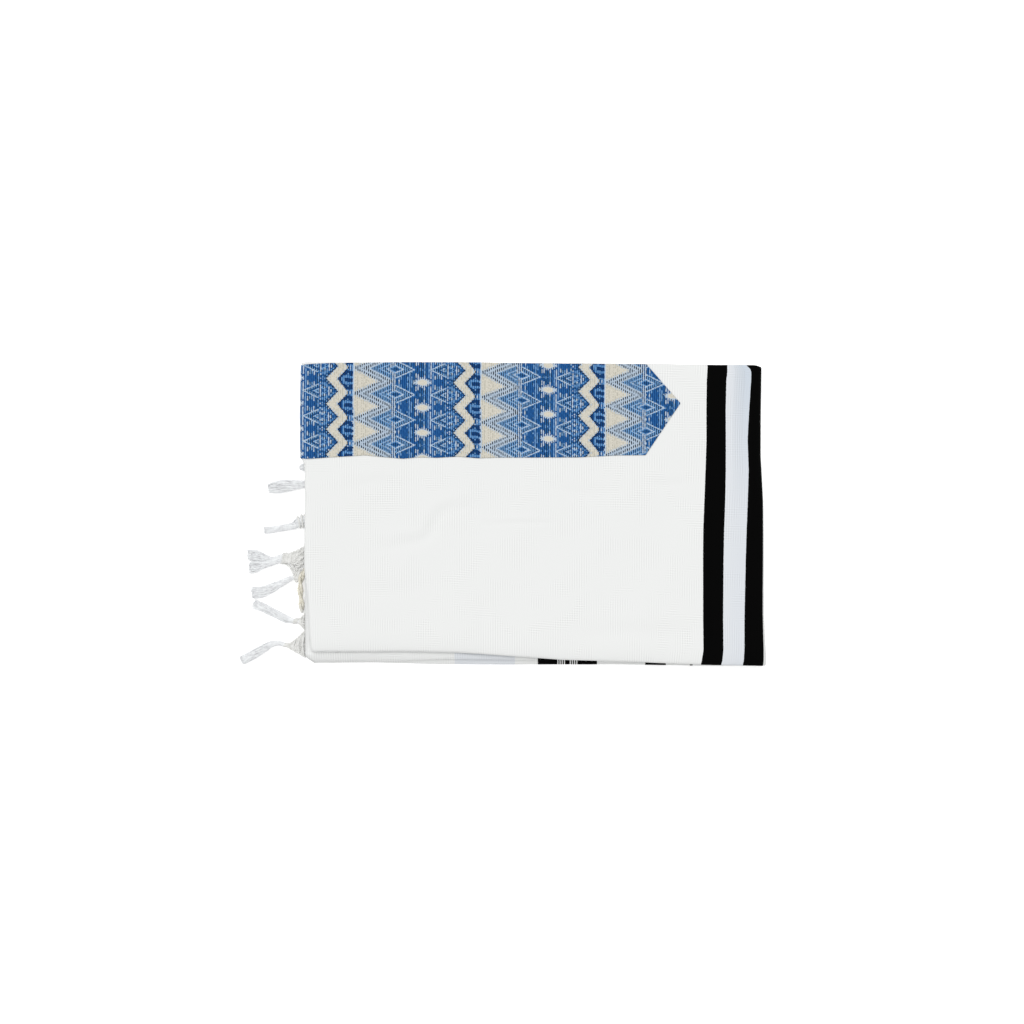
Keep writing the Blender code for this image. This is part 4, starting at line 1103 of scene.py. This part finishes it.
# The dashed columns down the middle of the chevrons, by place and by reach
SEAM, SEAM_HALF_WIDTH, SEAM_FROM, SEAM_TO = 39.4, 2.2, 8.8, 28.6
DASH_REPEAT, DASH = 2.0, 1.1
FAR_SIDE = DIAMOND_CENTRE - 3  # where diamonds turn to broken threads
FAR_SHARE = 0.8  # of their floats that are left there
COLUMN_LINES, COLUMN_LINE_HALF_WIDTH = (94.8, 102.6), 1.05  # light broken columns
POINT_SHADOW, POINT_BORDER = 1.5, 1.8  # before and after a point's slanting edge
LOBE_BORDER, LOBE_OUTLINE = 1.6, 1.1  # before and after a lobe's slanting edge
LOBE_FOOT, LOBE_FOOT_HALF_WIDTH = 120.8, 2.3
LOBE_BARS = (1.9, 4.1, 6.4)  # how far from the middle between two rows a lobe's light bars lie
LOBE_WAIST = 3.2  # how far from a row two lobes meet in a speckled waist
# The ground: how long its runs of one yarn and its single floats are, and its plainer patches
GROUND_RUN, GROUND_FLOAT = 4.4, 1.5
ICE_SHARE, SKY_SHARE, NAVY_SHARE = 0.07, 0.60, 0.42
PLAIN_PATCHES, PLAIN_HALF_LENGTH, PLAIN_HALF_HEIGHT = (50.3, 84.5), 3.6, 4.0
PLAIN_SHARE = 0.15  # of their runs that keep the ground's own yarns


def scatter(column_number, row_number):
    """A number from 0 to 1 that looks random, the same for the same column and row."""
    mixed = np.sin(column_number * 12.9898 + row_number * 78.233) * 43758.5453
    return mixed - np.floor(mixed)


def from_nearest(q, places):
    """How far each value lies from the nearest of the places."""
    return np.min([np.abs(q - place) for place in places], axis=0)


def paint_rings(yarn, reach, where, rings, odd):
    """Gives each ring its yarns: the light one on odd threads and the dark one between them."""
    for ring in rings:
        here = where & (reach <= ring.outer) & (reach > ring.inner)
        yarn = np.where(here, np.where(odd, ring.light, ring.dark), yarn)
    return yarn


def woven_yarn(along, across, thread):
    """The yarn on top at places of the neckband, which lie on numbered threads, by its chart.

    All motifs are mirrored about their rows, so a place is q along a repeat, r from the nearest
    row of diamonds and r_between from the middle between two rows. Diamonds are limits on
    |q - centre| + r / slope, points and lobes are slanting limits on q, and the blue ground is
    broken columns of light and dark. Each float has a number of its own from 0 to 1, called part,
    so that part < 0.6 picks six floats in ten.
    """
    pitch = column(ROW_PLACES, "along", along, "pitch")
    turn = (across - column(ROW_PLACES, "along", along, "first")) / pitch
    r = np.abs(turn - np.round(turn)) * ROW_REPEAT
    r_between = ROW_REPEAT / 2 - r
    starts = np.array(REPEAT_STARTS)
    number = np.clip(np.searchsorted(starts, along, side="right") - 1, 0, len(starts) - 2)
    q = (along - starts[number]) / (starts[number + 1] - starts[number]) * REPEAT
    odd = thread % 2 == 1
    down = across / MM

    run = np.floor(r / GROUND_RUN + 7 * scatter(thread, 1))
    light_run = scatter(thread, run)
    part = scatter(thread, np.floor(r / GROUND_FLOAT) + 300)
    lit = np.where(light_run < ICE_SHARE, ICE, np.where(light_run < SKY_SHARE, SKY, BLUE))
    unlit = np.where(scatter(thread, run + 50) < NAVY_SHARE, NAVY, ROYAL)
    yarn = np.where(odd, lit, unlit)
    plain = (r_between < PLAIN_HALF_HEIGHT) & (from_nearest(q, PLAIN_PATCHES) < PLAIN_HALF_LENGTH)
    yarn = np.where(plain & (light_run > PLAIN_SHARE), np.where(odd, BLUE, ROYAL), yarn)
    speckled = (q > FAR_SIDE) & (q < POINT_TIP)
    speckles = np.where(odd, np.where(part < 0.12, ICE, np.where(part < 0.62, SKY, BLUE)),
                        np.where(part < 0.5, NAVY, ROYAL))
    yarn = np.where(speckled, speckles, yarn)

    reach = np.abs(q - CHEVRON_CENTRE) + r / CHEVRON_SLOPE
    front = q < CHEVRON_CENTRE
    ecru = np.where(odd, ECRU, np.where(part < 0.55, OAT, ECRU))
    border = np.where(odd, ICE, ecru)
    yarn = np.where(front & (reach > CHEVRON_RINGS[0].outer), ecru, yarn)
    yarn = np.where(front & (reach > CHEVRON_RINGS[0].outer) & (reach < BORDER_REACH), border, yarn)
    yarn = paint_rings(yarn, reach, front, CHEVRON_RINGS, odd)
    yarn = paint_rings(yarn, reach, ~front, CHEVRON_BACK_RINGS, odd)
    seam = (np.abs(q - SEAM) < SEAM_HALF_WIDTH) & (reach > SEAM_FROM) & (reach < SEAM_TO)
    dashes = np.where(down % DASH_REPEAT < DASH, NAVY, BLUE)
    yarn = np.where(seam, np.where(odd, ICE, dashes), yarn)

    diamond = np.abs(q - DIAMOND_CENTRE) + r / DIAMOND_SLOPE
    yarn = paint_rings(yarn, diamond, q < FAR_SIDE, DIAMOND_RINGS, odd)
    yarn = paint_rings(yarn, diamond, (q >= FAR_SIDE) & (part < FAR_SHARE), DIAMOND_FAR_RINGS, odd)
    column_lines = odd & (from_nearest(q, COLUMN_LINES) < COLUMN_LINE_HALF_WIDTH) & (part < 0.6)
    yarn = np.where(column_lines, ICE, yarn)

    aside = np.abs(q - LOZENGE_CENTRE) / LOZENGE_HALF_LENGTH
    half_height = LOZENGE_HALF_HEIGHT * (1 - aside**LOZENGE_POWER)
    yarn = np.where((aside < 1) & (r_between < half_height + LOZENGE_HALO) & odd, ICE, yarn)
    filling = np.where((aside > LOZENGE_ENDS) | (r_between > half_height - LOZENGE_RIM), ICE, ECRU)
    yarn = np.where((aside < 1) & (r_between < half_height), filling, yarn)

    slant = POINT_TIP - r * (POINT_TIP - POINT_NOTCH) / (ROW_REPEAT / 2)
    past = q - slant
    yarn = np.where((past > -POINT_SHADOW) & (past <= 0), NAVY, yarn)
    yarn = np.where(past > 0, np.where(past < POINT_BORDER, border, ecru), yarn)
    inside = q - LOBE_TIP - (LOBE_NOTCH - LOBE_TIP) * np.minimum(r_between / (ROW_REPEAT / 2 - 1), 1)
    low, middle, high = LOBE_BARS
    light = (r_between > low) & (r_between < middle) & (q > LOBE_SPOT - 1)
    foot = (np.abs(q - LOBE_FOOT) < LOBE_FOOT_HALF_WIDTH) & (part < 0.5)
    light |= (r_between >= middle) & (r_between < high) & foot
    light |= (r_between < low) & (np.abs(q - LOBE_SPOT) < LOBE_SPOT_HALF_WIDTH)
    lobe = np.where(light, np.where(odd, SKY, BLUE), np.where(odd, ROYAL, NAVY))
    waist = np.where(odd, np.where(part < 0.6, SKY, ICE), np.where(part < 0.5, ROYAL, BLUE))
    lobe = np.where(r < LOBE_WAIST, waist, lobe)
    lobe = np.where(inside < LOBE_OUTLINE, NAVY, lobe)
    yarn = np.where((inside > -LOBE_BORDER) & (past > POINT_BORDER), border, yarn)
    yarn = np.where(inside > 0, lobe, yarn)
    return np.where((q > LIGHT_EDGE) | (q < LIGHT_EDGE + LIGHT_EDGE_WIDTH - REPEAT), ICE, yarn)


def make_neckband(material):
    """The neckband: a grid whose cells are its woven floats, cut to its point.

    Its height above the cloth falls to its turned edges as an exponential of the distance.
    """
    step, rise = BAND_CELL
    start = -(LEFT_HALF + BAND_TUCK)
    tip = LEFT_HALF + BAND_TIP_X - LEFT_CENTRE_X
    index = np.arange((len(REPEAT_STARTS) - 1) * CELLS_IN_REPEAT)
    s = np.interp(index / CELLS_IN_REPEAT, np.arange(len(REPEAT_STARTS)), REPEAT_STARTS)
    s += BAND_START_X + LEFT_HALF - LEFT_CENTRE_X
    s += BAND_SHIFT - BAND_SHIFT_LOSS * np.clip(s / TOP_END, 0, 1)
    within = (s > start) & (s < tip + step)
    index, s = index[within], s[within]
    width = BAND_EDGES[0].upper - BAND_EDGES[0].lower
    share = np.linspace(0, 1, round(width / rise) + 1)
    reach = np.where(share < BAND_TIP_SHARE, share / BAND_TIP_SHARE, (1 - share) / (1 - BAND_TIP_SHARE))
    ends = LEFT_HALF + BAND_SHOULDER_X - LEFT_CENTRE_X + (BAND_TIP_X - BAND_SHOULDER_X) * reach
    x = packet_line(s, 0.0)[0][:, None]
    lower = column(BAND_EDGES, "x", x, "lower")
    upper = column(BAND_EDGES, "x", x, "upper")
    y = lower + (upper - lower) * share
    number = index[:, None]
    taper = np.sin(2 * math.pi * y / FLOAT_TAPER_LENGTH + FLOAT_PHASE * (number // 2))
    taper = taper * (1 - 2 * (number % 2))
    place = np.minimum(s[:, None] + FLOAT_TAPER * taper, ends[None, :])
    inwards = np.minimum(np.minimum(y - lower, upper - y), (ends - place) * BAND_POINT_LEAN)
    lift = BAND_LIFT - (BAND_LIFT - BAND_EDGE_LIFT) * np.exp(-inwards / BAND_EDGE_WIDTH)
    x, z = packet_line(place, -lift)
    straight = np.stack([x, y, z], axis=-1)
    faces = grid_faces(*straight.shape[:2])
    before_end = place[:-1] < ends[None, :] - LEAST_CELL
    keep = (before_end[:, :-1] | before_end[:, 1:]).ravel()
    used, faces = np.unique(faces[keep], return_inverse=True)
    faces = faces.reshape(-1, 4)
    soft = settled(straight)
    points = soft.reshape(-1, 3)[used]
    obj = mesh_piece("neckband_weave", points, [faces], material, ["neckband"])
    seen = place - LEFT_HALF + LEFT_CENTRE_X + (soft - straight)[..., 0]
    flat = np.stack([seen - BAND_START_X, BAND_BACK_Y - y], axis=-1)
    flat = flat.reshape(-1, 2)[used]
    give_uv(obj, flat)
    middle = flat[faces].mean(axis=1)
    thread = index[used[faces[:, 0]] // len(share)] % CELLS_IN_REPEAT + 1
    yarn = woven_yarn(middle[:, 0], middle[:, 1], thread)
    shown = obj.data.attributes.new("yarn", "FLOAT", "FACE")
    shown.data.foreach_set("value", ((yarn + 0.5) / len(YARN_COLOURS)).astype(np.float32))
    give_wall(obj, BAND_THICKNESS)
    return obj


# The fringe


def read_sections(sections, t):
    """A tassel's sections, and its direction in x and y, at places t from its root to its tip."""
    rows = catmull_rom(sections, np.linspace(0, len(sections) - 1, 12 * len(sections)))
    reached = np.append(0, np.cumsum(np.linalg.norm(np.diff(rows[:, :2], axis=0), axis=1)))
    slope = np.gradient(rows[:, :2], axis=0)
    slope /= np.linalg.norm(slope, axis=1)[:, None]
    return [np.interp(t, reached / reached[-1], values) for values in (*rows.T, *slope.T)]


def tassel_lines(sections, lay, seed):
    """Lines of a tassel's strands inside its sections, as (strand, place, xyz).

    Strands are spread over a unit disc like a sunflower's seeds. The disc is stretched to each
    section's width and height, turned by the twist, and each strand wanders and ends by itself.
    """
    random = np.random.default_rng(seed)
    ends = 1 - STRAND_SHORTER * random.uniform(0, 1, lay.strands) ** 1.6
    t = np.linspace(0, 1, STRAND_RINGS)[None, :] * ends[:, None]
    x, y, width, height, raised, along_x, along_y = read_sections(sections, t)
    number = np.arange(lay.strands) + 0.5
    radius = np.sqrt(number / lay.strands)[:, None]
    seed_angle = number[:, None] * GOLDEN_ANGLE
    angle = seed_angle + 2 * math.pi * lay.twist * t
    phase = random.uniform(0, 2 * math.pi, (2, lay.strands, 1))
    across = radius * np.cos(angle) + STRAND_WANDER * np.sin(2 * math.pi * 1.6 * t + phase[0])
    lifted = radius * np.sin(angle) + STRAND_WANDER * np.sin(2 * math.pi * 2.1 * t + phase[1])
    parted = np.clip((t - lay.parts) / max(1 - lay.parts, 1e-6), 0, 1)
    across += np.sign(np.cos(seed_angle)) * STRAND_PARTING * parted
    pinch = 1.0
    if lay.knot:
        inside = np.clip(1 - np.abs(t - np.mean(lay.knot)) / (lay.knot[1] - lay.knot[0]), 0, 1)
        pinch = 1 - KNOT_PINCH * inside
    across = np.clip(across, -1, 1) * (width / 2 - STRAND_RADIUS) * pinch
    lift = (height - 2 * STRAND_RADIUS) / 2 * (1 + np.clip(lifted, -1, 1) * pinch)
    z = TABLE_GAP + raised + STRAND_RADIUS + lift
    return np.stack([x - along_y * across, y + along_x * across, z], axis=-1)


def knot_line(sections, knot, turns):
    """The line of the yarn wound round a tassel's neck: a leaning helix round its sections' ellipse."""
    t = np.linspace(knot[0], knot[1], KNOT_STEPS * turns + 1)
    x, y, width, height, raised, along_x, along_y = read_sections(sections, t)
    angle = 2 * math.pi * turns * np.linspace(0, 1, len(t))
    across = np.cos(angle) * (width / 2 - KNOT_RADIUS)
    z = TABLE_GAP + raised + height / 2 + np.sin(angle) * (height / 2 - KNOT_RADIUS)
    leaning = KNOT_SLANT * np.cos(angle)
    x = x + along_x * leaning - along_y * across
    y = y + along_y * leaning + along_x * across
    return np.stack([x, y, z], axis=-1)[None], np.array([along_x.mean(), along_y.mean(), 0.0])


def make_tassels(material, knots):
    """Each tassel's strands, and the netting's yarn wound round its neck where it has a knot."""
    pieces = []
    for number, (name, sections) in enumerate(TASSELS.items()):
        lay = TASSEL_LAYS[name]
        lines = tassel_lines(sections, lay, SEED + number)
        taper = np.interp(np.linspace(0, 1, STRAND_RINGS), [0, 0.85, 1], [1, 1, 0.55])
        strands = tubes(name + "_strands", lines, STRAND_RADIUS * taper, STRAND_SIDES, UP, material,
                        [name])
        pieces.append(strands)
        if lay.knot:
            line, axis = knot_line(sections, lay.knot, KNOT_TURNS)
            pieces.append(tubes(name + "_knot", line, KNOT_RADIUS, 8, axis, knots))
    return pieces


NET_RADIUS = 0.72 * MM  # of one of a net cord's two strands
NET_OFFSET = 0.60 * MM
NET_PITCH = 8.0 * MM
NET_PLACES = 16  # along each thread
FAN_EASE = 0.85  # the power that draws a fan's places towards its knot
FAN_RISE = 0.6 * MM
FAN_STAGGER = 0.35  # how far its ends lie to and fro, in spreads
ROUTE_THREADS = 4
# How far each thread lies from the one before it, at the start, the middle and the end of its route
STRIP_STEP = ((5.0 * MM, 1.0 * MM, 0.2 * MM), (2.6 * MM, 0.8 * MM, 0.1 * MM), (1.0 * MM, 0.6 * MM, 0.0))
CROSS_STEP = ((0.0, -6.0 * MM, 0.0), (1.6 * MM, -4.6 * MM, 0.0), (2.6 * MM, -2.6 * MM, -0.6 * MM))
TIE_STEP = ((-4.6 * MM, -3.4 * MM, 0.0), (-4.6 * MM, 0.0, 0.0), (-4.6 * MM, 2.6 * MM, 0.0))


def fan_lines(base_start, base_end, apex, spread, count, bows):
    """Threads from places on a base line towards one knot, where they lie a little apart.

    They end by turns nearer and farther. The first and the last are bowed sideways by two lengths
    of their own, and those between by lengths in between. All rise a little in the middle.
    """
    base = np.linspace(base_start, base_end, count)[:, None]
    t = np.linspace(0, 1, NET_PLACES)[None, :, None]
    share = np.linspace(0, 1, count)[:, None, None]
    end = np.array(apex) + (0.5 - share) * (2 * spread * Y_AXIS)
    end = end + FAN_STAGGER * spread * (-1.0) ** np.arange(count)[:, None, None] * X_AXIS
    line = base + (end - base) * t**FAN_EASE
    bulge = np.sin(math.pi * t)
    bow = bows[0] + (bows[1] - bows[0]) * share
    return line + bulge * bow * Y_AXIS + bulge * (FAN_RISE * UP)


def net_route(start, middle, end, step):
    """Threads side by side: each the route through three places, moved by steps of its own."""
    rows = np.array([start, middle, end])
    return [even_route(rows + k * np.array(step), NET_PLACES) for k in range(ROUTE_THREADS)]


def netting(name, threads, material, replaces=()):
    """One piece of netting: each of its threads is two strands wound round each other."""
    lines = twisted(np.concatenate(threads), 2, NET_OFFSET, NET_PITCH)
    return tubes(name, lines, NET_RADIUS, 8, UP, material, replaces)


def make_nets(material):
    """The netting: threads that fan in from the cloth's end to a knot, and others across them."""
    fan = fan_lines((-0.2226, -0.0290, 0.0046), (-0.2226, -0.0545, 0.0036), (-0.2500, -0.0450, 0.0058),
                    3.6 * MM, 10, (-1.6 * MM, 0.8 * MM))
    strip = net_route((-0.2486, -0.0500, 0.0040), (-0.2428, -0.0560, 0.0034), (-0.2384, -0.0690, 0.0022),
                      STRIP_STEP)
    cross = net_route((-0.2226, -0.0310, 0.0062), (-0.2330, -0.0392, 0.0062), (-0.2425, -0.0488, 0.0062),
                      CROSS_STEP)
    netting("upper_netting", [fan, strip, cross], material, ["upper_net"])
    fan = fan_lines((-0.2290, -0.1176, 0.0036), (-0.2290, -0.1440, 0.0030), (-0.2478, -0.1326, 0.0030),
                    0.4 * MM, 10, (-2.0 * MM, 0.0))
    ties = net_route((-0.2298, -0.1200, 0.0046), (-0.2318, -0.1318, 0.0052), (-0.2304, -0.1424, 0.0040),
                     TIE_STEP)
    netting("corner_netting", [fan, ties[:3]], material, ["corner_net"])
    fan = fan_lines((-0.2290, -0.1006, 0.0030), (-0.2290, -0.1172, 0.0030), (-0.2368, -0.1080, 0.0030),
                    1.2 * MM, 7, (-1.0 * MM, 1.0 * MM))
    netting("middle_netting", [fan], material)


def make_cord(material):
    """The corner tassel's cord: two strands wound round each other, each of three yarns."""
    route = catmull_rom(CORD_ROUTE, np.linspace(0, len(CORD_ROUTE) - 1, CORD_PLACES))
    strands = twisted(route[None], 2, CORD_DIAMETER / 4, CORD_TURN, phase=0.6)
    yarns = twisted(strands, 3, CORD_YARN_OFFSET, CORD_YARN_TURN)
    obj = tubes("corner_cord_yarns", yarns, CORD_YARN_RADIUS, 8, UP, material,
                ["corner_cord"])
    return obj


# The studio


def make_camera():
    """Looks straight down on the middle of the view through a long lens, so that 1.024 m fills it."""
    view_side = 1.024
    lens = 120.0
    sensor = 36.0
    camera = bpy.data.objects.new("Camera", bpy.data.cameras.new("Camera"))
    camera.data.lens = lens
    camera.data.sensor_width = sensor
    camera.location = (-0.0215, 0.0015, PACKET_HEIGHT + view_side * lens / sensor)
    bpy.context.scene.collection.objects.link(camera)
    bpy.context.scene.camera = camera


def make_studio():
    """A white floor, an even white surrounding and a broad soft light from the upper left."""
    floor = bpy.data.meshes.new("floor")
    half = 3.0
    low = -0.5 * MM
    floor.from_pydata([(-half, -half, low), (half, -half, low), (half, half, low), (-half, half, low)], [],
                      [(0, 1, 2, 3)])
    floor.materials.append(floor_material())
    stage = bpy.data.objects.new("floor", floor)
    bpy.context.scene.collection.objects.link(stage)
    world = bpy.data.worlds.new("white_surroundings")
    world.use_nodes = True
    background = world.node_tree.nodes["Background"]
    background.inputs["Color"].default_value = linear("#ffffff")
    sky = add(world.node_tree, "TexCoord").outputs["Generated"]
    direction = add(world.node_tree, "SeparateXYZ", {0: sky})
    strength = add(world.node_tree, "MapRange", {0: direction.outputs["Z"], 3: 0.15, 4: 1.15})
    world.node_tree.links.new(strength.outputs[0], background.inputs["Strength"])
    bpy.context.scene.world = world
    sun = bpy.data.lights.new("window", "SUN")
    sun.energy = 1.55
    sun.angle = math.radians(60)
    light = bpy.data.objects.new("window", sun)
    light.rotation_euler = (math.radians(-20), math.radians(-16), 0)
    bpy.context.scene.collection.objects.link(light)
    bpy.context.scene.view_settings.view_transform = "Standard"


def main():
    """Makes every piece, then the studio."""
    make_camera()
    fringe = yarn_material("bleached_wool_yarn", "#e3e5e6", "#d5d6d8", 260.0)
    netting = yarn_material("bleached_wool_netting", "#d9d9d7", "#c8c8c5", 260.0)
    cord = yarn_material("undyed_wool_cord", "#dddacf", "#c9c4b4", 300.0, (-0.090, -0.100))
    make_cord(cord)
    cloth = white_wool()
    make_outer_cloth(cloth)
    make_inner_plies(cloth)
    make_inner_half(cloth)
    make_neckband(jacquard())
    make_tassels(fringe, netting)
    make_nets(netting)
    make_studio()


main()
